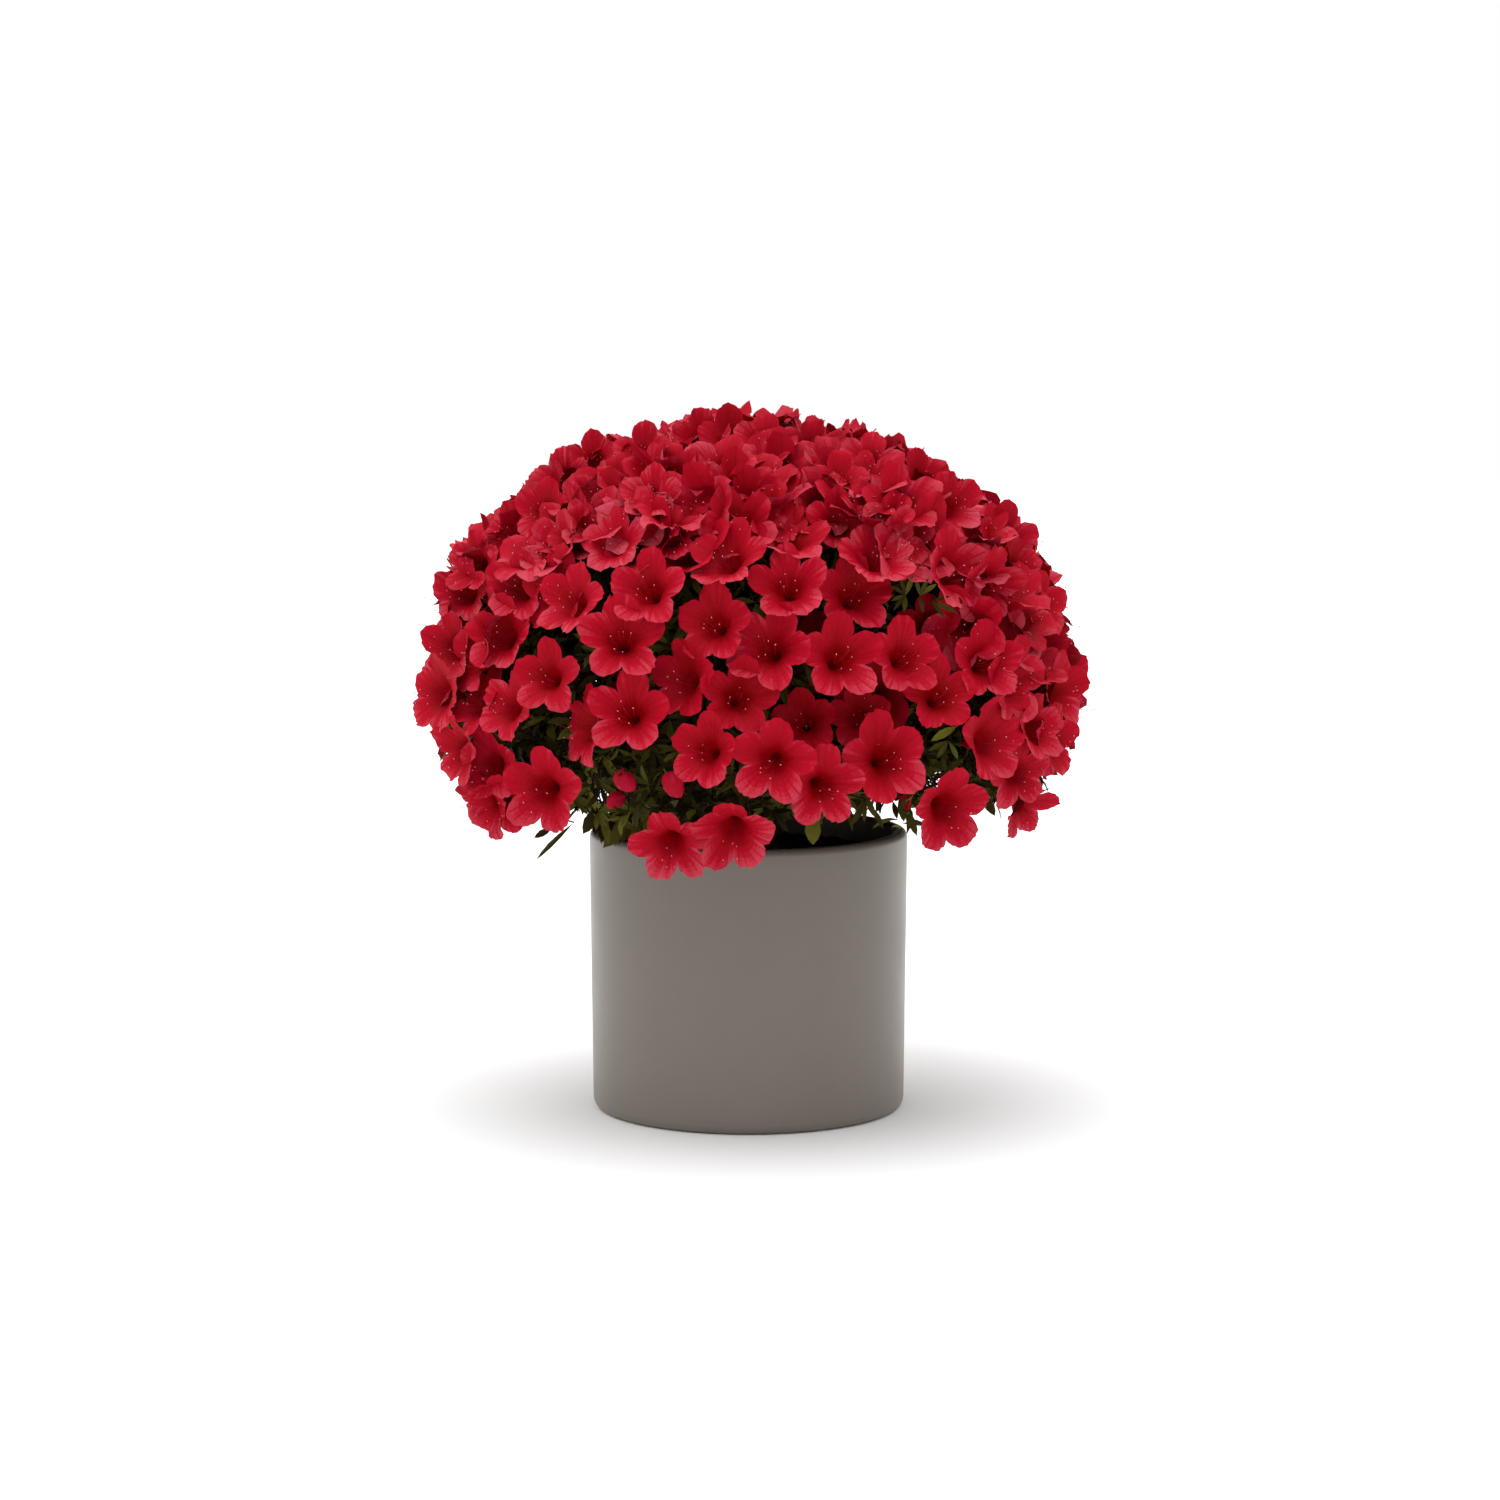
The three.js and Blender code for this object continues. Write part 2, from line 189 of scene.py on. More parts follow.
# A leaf seen in the picture, by itself: its foot, its tip and its width in pixels, how far in
# front of the pot's middle it is in mm, and its shade.
SeenLeaf = namedtuple("SeenLeaf", "x y tip_x tip_y across depth tint")
SEEN_LEAVES = rows_of(
    SeenLeaf,
    (573, 824, 536, 860, 5, 70, 2), (552, 829, 534, 838, 7, 70, 1),
    (634, 816, 603, 848, 14, 104, 2), (600, 806, 583, 834, 13, 92, 1),
    (622, 812, 641, 836, 12, 104, 1), (812, 812, 813, 845, 16, 104, 4),
    (785, 792, 771, 815, 14, 104, 2), (903, 806, 917, 836, 9, 60, 2),
    (938, 832, 955, 845, 5, 90, 1), (982, 796, 995, 816, 10, 70, 2),
    (987, 776, 1002, 806, 9, 80, 3), (634, 764, 662, 785, 12, 150, 4),
    (698, 794, 688, 820, 12, 140, 4), (643, 800, 676, 808, 8, 140, 3),
    (906, 596, 889, 586, 4, 150, 1), (906, 596, 891, 601, 4, 150, 2),
    (906, 596, 899, 577, 4, 150, 1), (906, 596, 913, 575, 5, 150, 3),
    (906, 596, 904, 612, 5, 150, 2), (906, 596, 893, 611, 4, 150, 1),
    (920, 596, 929, 577, 4, 152, 2), (920, 596, 937, 584, 5, 152, 3),
    (920, 596, 923, 613, 4, 152, 1), (920, 596, 915, 578, 4, 152, 2),
    (932, 603, 951, 596, 4, 150, 1), (932, 603, 957, 613, 5, 150, 2),
    (932, 603, 945, 619, 4, 150, 1), (958, 727, 931, 741, 8, 160, 4),
    (949, 742, 937, 758, 5, 156, 2), (949, 742, 958, 760, 5, 156, 3),
    (949, 742, 928, 751, 5, 156, 2), (899, 799, 904, 822, 8, 66, 2), (893, 802, 897, 819, 6, 66, 1),
    (912, 799, 923, 817, 6, 66, 2), (652, 800, 664, 824, 9, 130, 3), (571, 796, 588, 815, 7, 96, 3),
)

# The crown's lower edge as the picture shows it, at a row of places across: the lowest place
# of a bloom that isn't named above, and of a shoot. All in pixels.
HEM_ACROSS = (440, 500, 560, 600, 640, 700, 770, 830, 880, 915, 950, 1010, 1060)
BLOOM_HEM = (770, 800, 800, 800, 800, 790, 785, 782, 780, 785, 800, 800, 760)
SHOOT_HEM = (762, 792, 800, 819, 822, 818, 814, 808, 800, 806, 792, 794, 752)
# Between these places across, the pot hides what hangs lower at the back of the crown.
HIDDEN_ACROSS = (612, 888)
# How far a lobe may hang lower than that.
HEM_PLAY = 12 * MM

# How far under the mouth of a bloom's throat another bloom has to pass.
THROAT_CLEAR = 12 * MM
# How much deeper, in mm, a bloom is tried where it would lie in front of those named above.
DEEPER = (0, 5, 10, 15, 20, 26)

# Places where the picture shows deep shade, with a full shoot so many mm behind each.
SHADED = ((590, 680), (574, 697), (487, 678), (602, 672), (641, 687), (596, 685), (600, 692))
SHADE_DEPTH = 45

# A bud seen in the picture: its middle and its length in pixels, and how far its tip leans to
# the right and up.
SeenBud = namedtuple("SeenBud", "x y length right up")
SEEN_BUDS = rows_of(
    SeenBud,
    (626, 782, 28, 0.62, -0.55), (615, 801, 23, -0.6, -0.5), (674, 786, 30, 0.45, -0.72),
)
# How many mm a pixel of a bud is, and how far under the crown's outside a seen bud lies.
BUD_PIXEL = 0.62
BUD_UNDER = 6

Bloom = namedtuple("Bloom", "face axis top size cup ruffle tint bough weave seed")
Bud = namedtuple("Bud", "middle axis length bough")
Shoot = namedtuple("Shoot", "tip axis leaves length spread tint bough")
Twig = namedtuple("Twig", "points radii young bough")
Leaf = namedtuple("Leaf", "base turn length width tint shape bough")
Bush = namedtuple("Bush", "blooms buds leaves twigs")

# The tube of a bloom, from its foot to the throat's mouth: radius and level in mm.
TUBE = ((0.4, -25.0), (2.8, -18.8), (5.0, -12.8), (8.4, -7.2))
MOUTH, MOUTH_LEVEL = TUBE[-1]
# How much the tube widens towards each lobe at its mouth.
FLUTE = 0.05
LOBES = 5
# Half of each lobe's width in degrees and how far it reaches in mm, from the upper lobe on,
# and how much more than most each one's end bends back.
LOBE_HALVES = (35, 36.5, 36, 36, 36.5)
LOBE_LENGTHS = (26.8, 25.6, 25.6, 25.6, 25.6)
LOBE_REACH = 26.0
LOBE_BENDS = (-1, 0, 1.2, 1.2, 0)
# How far from the axis two lobes part, in mm, by how much that differs from notch to notch,
# and how square a lobe's end is.
NOTCH = 16.4
NOTCH_PLAY = 2.6
LOBE_POWER = 1.95
# How much wider a lobe gets past the notches beside it, how far one edge of it lies over the
# next lobe and how far both edges bend back, in mm.
LOBE_FLARE = 0.05
LOBE_LAP = 0.8
EDGE_DROP = 1.7
# How far from the axis, in mm, a lobe starts to lean its own way.
LEAN_FROM = 13
# The width of a bloom of size 1 in mm and in pixels, and what one pixel then is.
BLOOM_WIDTH = 50
BLOOM_PIXELS = 80
PIXEL = BLOOM_WIDTH * MM / BLOOM_PIXELS

# How a bloom's sheet is divided: across each lobe in shares of its half width, with a narrow
# stretch for every vein, and from the mouth of the tube to the ends of the lobes.
Weave = namedtuple("Weave", "across along tube")
HALF_FINE = (0.04, 0.18, 0.32, 0.38, 0.54, 0.66, 0.72, 0.83, 0.93, 1)
HALF_PLAIN = (0.04, 0.3, 0.56, 0.76, 0.9, 1)
WEAVES = {
    name: Weave((*(-share for share in half[::-1]), *half), along, tube)
    for name, half, along, tube in (
        ("fine", HALF_FINE, (0.2, 0.4, 0.58, 0.74, 0.88, 1.0), (0, 1, 2, 3)),
        ("plain", HALF_PLAIN, (0.3, 0.58, 0.82, 1.0), (0, 2, 3)),
    )
}
# A stretch across a lobe that is narrower than this share is a vein.
VEIN_WIDTH = 0.085
# The shares between which the side veins lie, and how deep they are sunk in the lobe, in mm.
SIDE_VEINS = (0.32, 0.38, 0.66, 0.72)
VEIN_DEPTH = 0.3
# How much deeper the middle of a lobe is, in mm, and how wide that groove is as a share.
MIDDLE_DEPTH = 0.5
MIDDLE_WIDTH = 0.14

PETAL_SHADES = 16
# How much paler each lobe's end is, from the upper lobe on: the upper one is deep red, its own
# colour, and the lower two are paler as painted light, where they face up to the light.
LOBE_PALENESS = (-1.6, 0, 2.0, 2.0, 0)
# The shade of a lobe at the throat, which is partly painted shade of the funnel, and how much
# paler its end is, which is partly painted highlight, the shade of the throat's edge, and how
# much darker a vein is and paler what lies between.
THROAT_SHADE = 1.5
END_PALER = 6.6
EDGE_SHADE = 1.2
VEIN_SHADE = -2.3
FIELD_SHADE = 0.4

# How many shades of leaves there are, and the share of the shoots that has each.
LEAF_SHADES = 5
SHADE_SHARES = (0.28, 0.3, 0.24, 0.13, 0.05)
# The angle from each leaf on a shoot to the next.
LEAF_TURN = math.radians(137.5)
# A leaf of length and width 1: how far along it and how wide there.
LEAF_OUTLINE = ((0.0, 0.06), (0.14, 0.34), (0.36, 0.86), (0.62, 1.0), (0.84, 0.62), (1.0, 0.0))
# What is written for each leaf, and its kind.
LEAF_VALUES = {
    "turn": "FLOAT_VECTOR",
    "length": "FLOAT",
    "width": "FLOAT",
    "shape": "INT",
    "tint": "INT",
}
# The shapes of leaf: how much each one droops and turns.
LEAF_SHAPES = {"Flat leaf": (0.08, 0.1), "Drooping leaf": (0.32, -0.2), "Twisted leaf": (0.18, 0.8)}

# How often a place is tried for a bloom, a bud, a shoot among the outer ones, one in the
# heart of the crown and one along its hem.
BLOOM_TRIES = 14000
BUD_TRIES = 26
OUTER_TRIES = 7000
HEART_TRIES = 1300
HEM_TRIES = 2200

# A bud: how far along it and how wide it is there, the folds round it and how it twists.
BUD_OUTLINE = ((0.0, 0.12), (0.08, 0.34), (0.2, 0.42), (0.45, 0.5), (0.7, 0.4), (0.88, 0.2))
BUD_SIDES = 20
BUD_FOLDS = 2.5
BUD_TWIST = 1.6


def linear(code):
    """An sRGB colour, given as a hex code, as the linear numbers that a shader takes."""
    shares = [int(code[i : i + 2], 16) / 255 for i in (0, 2, 4)]
    return tuple(s / 12.92 if s <= 0.04045 else ((s + 0.055) / 1.055) ** 2.4 for s in shares)


def setting(name, default, description, kind=FloatProperty, **options):
    """A value that the user can change."""
    return kind(name=name, description=description, default=default, **options)


def colour_setting(name, code, description):
    """A colour that the user can change."""
    return setting(name, linear(code), description, FloatVectorProperty, subtype="COLOR", min=0, max=1)


def length_setting(name, default, description):
    """A length that the user can change."""
    return setting(name, default, description, min=0, unit="LENGTH", precision=4)


class AzaleaStageSettings(bpy.types.PropertyGroup):
    """The camera, the light and the floor."""

    camera_place: setting(
        "Camera place",
        (0.00095, -2.3515, 0.4968),
        "Where the camera stands",
        FloatVectorProperty,
        subtype="XYZ",
        unit="LENGTH",
    )
    camera_turn: setting(
        "Camera turn",
        math.radians(83.42),
        "How far the camera is turned up from looking straight down",
        subtype="ANGLE",
        unit="ROTATION",
    )
    lens: setting("Lens", 90.4, "The focal length in mm", unit="CAMERA")
    sky_light: setting("Soft light", 1.0, "Strength of the light from all round")
    key_light: setting("Key light", 0.5, "Strength of the light from above")
    left_light: setting("Left light", 0.14, "How much stronger the light is from the left")
    back_light: setting("Back light", 0.2, "How much stronger the light is from behind")
    floor_colour: colour_setting("Floor", "F2F2F2", "The colour of the paper floor")


class AzaleaPotSettings(bpy.types.PropertyGroup):
    """The pot and the compost in it."""

    wall: length_setting("Wall", 10 * MM, "How thick the pot's wall is")
    foot_round: length_setting("Foot round", 6 * MM, "Radius of the pot's bottom edge")
    rim_round: length_setting("Rim round", 4.5 * MM, "Radius of the rim's two edges")
    foot_taper: length_setting("Foot taper", 1.7 * MM, "How much narrower the foot is")
    crumbs: setting("Crumbs", 60000, "Crumbs on each m2 of compost", IntProperty)
    ceramic: colour_setting("Pot", "70685E", "The colour of the pot")
    compost: colour_setting("Compost", "1E1611", "The colour of the compost")


class AzaleaBushSettings(bpy.types.PropertyGroup):
    """How the bush grows."""

    seed: setting("Seed", 7, "Changes how the bush grows", IntProperty)
    bloom_spacing_high: length_setting("Spacing, top", 17.5 * MM, "Between blooms on the dome")
    bloom_spacing_low: length_setting("Spacing, sides", 28 * MM, "Between blooms at the sides")
    leaf_length: length_setting("Leaf length", 20 * MM, "Length of a full leaf")
    leaf_width: length_setting("Leaf width", 4.7 * MM, "Width of a full leaf")
    twig_radius: length_setting("Twig", 0.55 * MM, "Radius of the thinnest twigs")
    # The throat's dark red is partly the petal's own colour and partly painted shade in the funnel.
    throat: colour_setting("Throat", "8C000A", "The darkest shade of a lobe")
    # The tube's colour is a painted glow: brighter than the throat, it stands for light shining through
    # the thin petals into the tube.
    tube: colour_setting("Tube", "A8000A", "The colour inside a bloom's tube, which light fills")
    blade: colour_setting("Lobe", "AC0321", "The colour of a bloom's lobes")
    # The pale lobe ends are partly painted highlight.
    lobe_end: colour_setting("Lobe end", "C64E5E", "The colour of the palest lobe ends")
    leaf_dark: colour_setting("Leaf, dark", "221A07", "The colour of the darkest leaves")
    leaf_light: colour_setting("Leaf, light", "605E20", "The colour of the lightest leaves")
    bark: colour_setting("Bark", "443222", "The colour of the bark")


def add_node(tree, kind, sockets=None, **settings):
    """Adds a node with its settings, and a value or a link for each socket that is named."""
    node = tree.nodes.new(kind)
    for name, value in settings.items():
        setattr(node, name, value)
    for name, value in (sockets or {}).items():
        if isinstance(value, bpy.types.NodeSocket):
            tree.links.new(value, node.inputs[name])
        else:
            node.inputs[name].default_value = value
    return node


def new_material(name, colour, **sockets):
    """A material, with its tree and its shader."""
    material = bpy.data.materials.new(name)
    material.use_nodes = True
    material.diffuse_color = (*colour, 1)
    tree = material.node_tree
    shader = next(n for n in tree.nodes if n.type == "BSDF_PRINCIPLED")
    shader.inputs["Base Color"].default_value = (*colour, 1)
    for socket, value in sockets.items():
        shader.inputs[socket.replace("_", " ")].default_value = value
    return material, tree, shader


def tone_and_relief(tree, shader, share, ends, height, strength, distance):
    """Gives a shader a colour between two by one pattern, and a relief by one."""
    tone = add_node(tree, "ShaderNodeMix", {"Factor": share}, data_type="RGBA")
    colours = [s for s in tone.inputs if s.type == "RGBA"]
    for socket, colour in zip(colours, ends):
        socket.default_value = (*colour, 1)
    rises = {"Height": height, "Strength": strength, "Distance": distance}
    relief = add_node(tree, "ShaderNodeBump", rises)
    tree.links.new(next(s for s in tone.outputs if s.type == "RGBA"), shader.inputs["Base Color"])
    tree.links.new(relief.outputs["Normal"], shader.inputs["Normal"])


def blended(first, second, share):
    """A colour part of the way from one to another."""
    return tuple(a + (b - a) * share for a, b in zip(first, second))


def petal_materials():
    """Azalea petal: thin, soft and full of sap. Its skin is a velvet of tiny domed cells that
    hardly shines. The shades run from deep red in the throat to pinker at the ends of the lobes:
    the dark throat is partly the petal's own colour and partly painted shade in the funnel, and
    the pinker ends are partly painted highlight. The shades are plain colours, because they are
    dealt out to faces that are too small to carry a pattern. The last is that of the tube's
    inside, a painted glow that stands for light shining through the petals."""
    bush = bpy.context.scene.azalea_bush
    stops = [tuple(bush.throat), tuple(bush.blade), tuple(bush.lobe_end)]
    colours = {}
    for i in range(PETAL_SHADES):
        along = i / (PETAL_SHADES - 1) * (len(stops) - 1)
        first = min(int(along), len(stops) - 2)
        colours[f"{i + 1:02d}"] = blended(stops[first], stops[first + 1], along - first)
    colours["tube"] = tuple(bush.tube)
    return [
        new_material("azalea_petal_" + name, colour, Roughness=0.6, IOR=1.4, Specular_IOR_Level=0.1)[0]
        for name, colour in colours.items()
    ]


def leaf_materials():
    """Azalea leaf: small, leathery and waxed on top, which gives a soft gloss. The greens are
    plain colours that are dealt out by shoot, from old dark leaves to young ones."""
    bush = bpy.context.scene.azalea_bush
    made = []
    for i in range(LEAF_SHADES):
        share = (i / (LEAF_SHADES - 1)) ** 1.4
        colour = blended(tuple(bush.leaf_dark), tuple(bush.leaf_light), share)
        gloss = {"Roughness": 0.55, "IOR": 1.45, "Specular_IOR_Level": 0.06}
        made.append(new_material(f"azalea_leaf_{i + 1}", colour, **gloss)[0])
    return made


def bark_material(name, lightness):
    """Azalea bark: thin, brown-grey, split into fine strips along the limb. It is dull, with
    darker cracks about 2 mm apart. The twigs' bark is darker than the stem's: partly the young
    bark's own colour and partly painted shade of the crown over them."""
    colour = blended(BLACK, tuple(bpy.context.scene.azalea_bush.bark), lightness)
    material, tree, shader = new_material(name, colour, Roughness=0.85, Specular_IOR_Level=0.08)
    place = add_node(tree, "ShaderNodeTexCoord").outputs["Object"]
    strips = add_node(tree, "ShaderNodeMapping", {"Vector": place, "Scale": (1, 1, 0.25)})
    pattern = {"Vector": strips.outputs["Vector"], "Scale": 500, "Detail": 4, "Roughness": 0.65}
    cracks = add_node(tree, "ShaderNodeTexNoise", pattern).outputs["Fac"]
    ends = (blended(colour, BLACK, 0.6), tuple(1.6 * c for c in colour))
    tone_and_relief(tree, shader, cracks, ends, cracks, 0.6, 0.6 * MM)
    return material


def mesh_object(name, vertices, faces=(), materials=(), kinds=None, smooth=True, edges=()):
    """A new object from its vertices, faces or edges, and the material's number of each face."""
    mesh = bpy.data.meshes.new(name)
    mesh.from_pydata(vertices, edges, faces)
    for material in materials:
        mesh.materials.append(material)
    if kinds is not None:
        mesh.polygons.foreach_set("material_index", kinds)
    mesh.polygons.foreach_set("use_smooth", [smooth] * len(mesh.polygons))
    mesh.update()
    piece = bpy.data.objects.new(name, mesh)
    bpy.context.scene.collection.objects.link(piece)
    return piece


def place_piece(piece, nodes=()):
    """Attaches a finished piece to the root, and hides the parts of the model that it stands for."""
    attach(piece, "root")
    if nodes:
        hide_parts(*nodes)


def run_nodes(piece, tree, inputs):
    """Gives a piece the result of a node tree, as a plain mesh."""
    modifier = piece.modifiers.new(tree.name, "NODES")
    modifier.node_group = tree
    for item in tree.interface.items_tree:
        if item.item_type == "SOCKET" and item.in_out == "INPUT" and item.name in inputs:
            modifier[item.identifier] = inputs[item.name]
    bpy.context.view_layer.update()
    evaluated = piece.evaluated_get(bpy.context.evaluated_depsgraph_get())
    mesh = bpy.data.meshes.new_from_object(evaluated)
    piece.modifiers.remove(modifier)
    piece.data = mesh


def new_tree(name, inputs):
    """A geometry tree from its named inputs and their kinds, with their sockets and its end."""
    tree = bpy.data.node_groups.new(name, "GeometryNodeTree")
    for socket, kind in inputs.items():
        tree.interface.new_socket(socket, in_out="INPUT", socket_type="NodeSocket" + kind)
    tree.interface.new_socket("Geometry", in_out="OUTPUT", socket_type="NodeSocketGeometry")
    return tree, add_node(tree, "NodeGroupInput").outputs, add_node(tree, "NodeGroupOutput").inputs[0]


def ring_of(name):
    """The ring that a mass or a bough belongs to."""
    if name in ("leader", "crown_top"):
        return "top"
    return "upper" if "upper" in name else "lower"


def camera_view():
    """Where the camera stands, its turn and its focal length in pixels of the picture."""
    stage = bpy.context.scene.azalea_stage
    turn = Matrix.Rotation(stage.camera_turn, 3, "X")
    return Vector(stage.camera_place), turn, PICTURE_SIDE * stage.lens / SENSOR_WIDTH


def view_way(x, y):
    """The way in which the camera sees a point of the picture."""
    _, turn, focal = camera_view()
    across = (x - PICTURE_SIDE / 2) / focal
    above = (PICTURE_SIDE / 2 - y) / focal
    return (turn @ Vector((across, above, -1))).normalized()


def seen_at(point):
    """The point of the picture at which the camera sees a place."""
    eye, turn, focal = camera_view()
    local = turn.transposed() @ (Vector(point) - eye)
    return PICTURE_SIDE / 2 - focal * local.x / local.z, PICTURE_SIDE / 2 + focal * local.y / local.z


def seen_axis(right, up):
    """The way in which a thing points that leans so far to the right and up in the picture."""
    slant = math.hypot(right, up)
    if slant > MOST_SLANT:
        right, up, slant = right * MOST_SLANT / slant, up * MOST_SLANT / slant, MOST_SLANT
    towards = Vector((right, up, math.sqrt(1 - slant**2)))
    return unit(np.array(camera_view()[1] @ towards))


@functools.cache
def crown_shell():
    """The outside of the crown's masses, to cast rays on."""
    vertices = []
    faces = []
    for name in MASSES:
        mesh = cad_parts[name].data
        first = len(vertices)
        vertices.extend(v.co.copy() for v in mesh.vertices)
        faces.extend([first + i for i in p.vertices] for p in mesh.polygons)
    return BVHTree.FromPolygons(vertices, faces)


def shell_point(way):
    """Where the crown's outside is, in a way from the dome's middle."""
    return crown_shell().ray_cast(DOME_MIDDLE + Vector(way) * PAST_DOME, -Vector(way))[0]


def limb_rings(name, from_below=False):
    """The middle and the radius of each ring of a limb's solid, from its tip back to the
    stem, or from the ground up."""
    solid = bmesh.new()
    solid.from_mesh(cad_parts[name].data)
    bmesh.ops.remove_doubles(solid, verts=solid.verts, dist=0.02 * MM)
    if from_below:
        lowest = min(v.co.z for v in solid.verts)
        ring = {v for v in solid.verts if v.co.z < lowest + 0.5 * MM}
    else:
        head = Vector(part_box("stem")[1])
        tip = max(solid.verts, key=lambda v: (v.co - head).length)
        ring = {v for v in solid.verts if (v.co - tip.co).length < 7 * MM}
    rings = []
    done = set()
    while len(ring) > 3:
        middle = sum((v.co for v in ring), Vector()) / len(ring)
        rings.append((middle, max((v.co - middle).length for v in ring)))
        done |= ring
        ring = {e.other_vert(v) for v in ring for e in v.link_edges} - done
    solid.free()
    return rings


@functools.cache
def bough_tips():
    """For each bough, its tip, its heading there and its way from the dome's middle."""
    tips = {}
    for name in BOUGHS:
        rings = limb_rings(name)
        tip = np.array(rings[0][0])
        tips[name] = tip, unit(tip - np.array(rings[1][0])), unit(tip - HEART)
    return tips


def nearest_bough(point):
    """The bough whose tip points most nearly at a place."""
    way = unit(np.array(point) - HEART)
    return max(BOUGHS, key=lambda name: float(np.dot(way, bough_tips()[name][2])))


def unit(vector):
    """A vector's way, with the length 1."""
    return vector / np.linalg.norm(vector)


def curve_points(start, start_pull, end, end_pull, count):
    """Points along a curve that leaves its start and reaches its end with the given pulls."""
    on = np.linspace(0, 1, count)[:, None]
    back = 1 - on
    near = back**3 * start + 3 * on * back**2 * (start + start_pull)
    return near + 3 * on**2 * back * (end - end_pull) + on**3 * end


def axis_lift(rise):
    """How steeply a bloom looks up, from how high on the dome it sits. Both in degrees."""
    places = (-40, -25, -12, 0, 15, 40, 60, 90)
    lifts = (-35, -12, 8, 22, 30, 44, 58, 78)
    return float(np.interp(rise, places, lifts))


def outward(azimuth, lift):
    """A unit way, from its two angles in radians."""
    flat = math.cos(lift)
    return np.array((math.cos(azimuth) * flat, math.sin(azimuth) * flat, math.sin(lift)))


def top_of(axis, roll):
    """Where a bloom's upper lobe points: up, as far as its axis lets it, and then rolled."""
    lean = np.array((0, 0, 1)) - axis[2] * axis
    if np.linalg.norm(lean) < 0.15:
        lean = np.array((1, 0, 0)) - axis[0] * axis
    lean = unit(lean)
    return lean * math.cos(roll) + np.cross(axis, lean) * math.sin(roll)


def dome_share(point):
    """How far out a place is: nothing in the dome's middle and one at its outside."""
    return float(np.linalg.norm((np.array(point) - HEART) / DOME_REACH))


def new_seed(chance):
    """A seed of its own for a bloom."""
    return int(chance.integers(1 << 30))


def seen_blooms(chance):
    """The blooms that the picture shows, each on the crown where the camera sees it."""
    eye, _, focal = camera_view()
    pixel = (-eye.y - CROWN_FRONT) / focal
    blooms = []
    for seen in SEEN_BLOOMS:
        way = view_way(seen.x, seen.y)
        hit = crown_shell().ray_cast(eye, way)[0]
        if hit is None:
            hit = eye + way * (DOME_MIDDLE - eye).dot(way)
        face = np.array(hit + way * (seen.sunk + SEEN_UNDER) * MM)
        right = (seen.x - seen.throat_x) / THROAT_OFFSET
        axis = seen_axis(right, (seen.throat_y - seen.y) / THROAT_OFFSET)
        cup = chance.uniform(9, 12)
        width = 2 * (MOUTH + (LOBE_REACH - MOUTH) * steepness_of(cup)) * MM
        size = SEEN_SCALE * seen.across * pixel / width
        top = top_of(axis, chance.normal(0, 0.14))
        # Blooms lower down the crown's face are painted a little darker, as painted shade.
        tint = seen.tint + float(np.interp(seen.y, (560, 640), (0, -0.4)))
        bough = nearest_bough(face)
        blooms.append(Bloom(face, axis, top, size, cup, 0.2, tint, bough, "fine", new_seed(chance)))
    return blooms


def in_named_part(point):
    """Whether a place shows in the part of the picture in which every bloom is named."""
    x, y = seen_at(point)
    within = any(left < x < right and top < y < bottom for left, top, right, bottom in NAMED_PARTS)
    return point[1] < 0 and within


def below_hem(point, hem=SHOOT_HEM):
    """Whether a place is lower than the picture shows the crown to reach there."""
    x, y = seen_at(point)
    behind_pot = point[1] > 0 and HIDDEN_ACROSS[0] < x < HIDDEN_ACROSS[1]
    return not behind_pot and y > np.interp(x, HEM_ACROSS, hem)


def outline_excess(points):
    """How far outside the crown's outline each of some points shows, in pixels."""
    corners = np.array(CROWN_OUTLINE) - CROWN_MIDDLE
    angles = np.arctan2(corners[:, 1], corners[:, 0])
    order = np.argsort(angles)
    reaches = np.hypot(corners[:, 0], corners[:, 1])[order]
    places = np.array([seen_at(p) for p in points]) - CROWN_MIDDLE
    turns = np.arctan2(places[:, 1], places[:, 0])
    allowed = np.interp(turns, angles[order], reaches, period=FULL_TURN)
    return np.hypot(places[:, 0], places[:, 1]) - allowed


def lobe_ends(bloom):
    """About where the ends of a bloom's lobes are."""
    side = np.cross(bloom.top, bloom.axis)
    turns = (np.arange(LOBES) * FULL_TURN / LOBES)[:, None]
    out = (bloom.top * np.cos(turns) + side * np.sin(turns)) * LOBE_REACH
    return bloom.face + (out + bloom.axis * (bloom.cup + MOUTH_LEVEL)) * bloom.size * MM


def fitted(bloom, way):
    """A bloom, moved in or out so that the crown keeps the outline that the picture shows."""
    ends = lobe_ends(bloom)
    each = outline_excess(ends)
    worst = int(np.argmax(each))
    excess = float(each[worst])
    if excess > OUTLINE_REACH:
        return None
    across, down = np.array(seen_at(ends[worst])) - CROWN_MIDDLE
    out = np.array((across, 0, -down)) / math.hypot(across, down)
    if excess > OUTLINE_PLAY:
        return bloom._replace(face=bloom.face - out * (excess - OUTLINE_PLAY) * PIXEL)
    if abs(way[1]) < 0.3 and way[2] > -0.2 and excess < -OUTLINE_PLAY:
        return bloom._replace(face=bloom.face + out * min(-excess, OUTLINE_PULL) * PIXEL)
    return bloom


def distance_to(points, point):
    """How far the nearest of some points is from a place."""
    return min(np.linalg.norm(np.array(points) - point, axis=1))


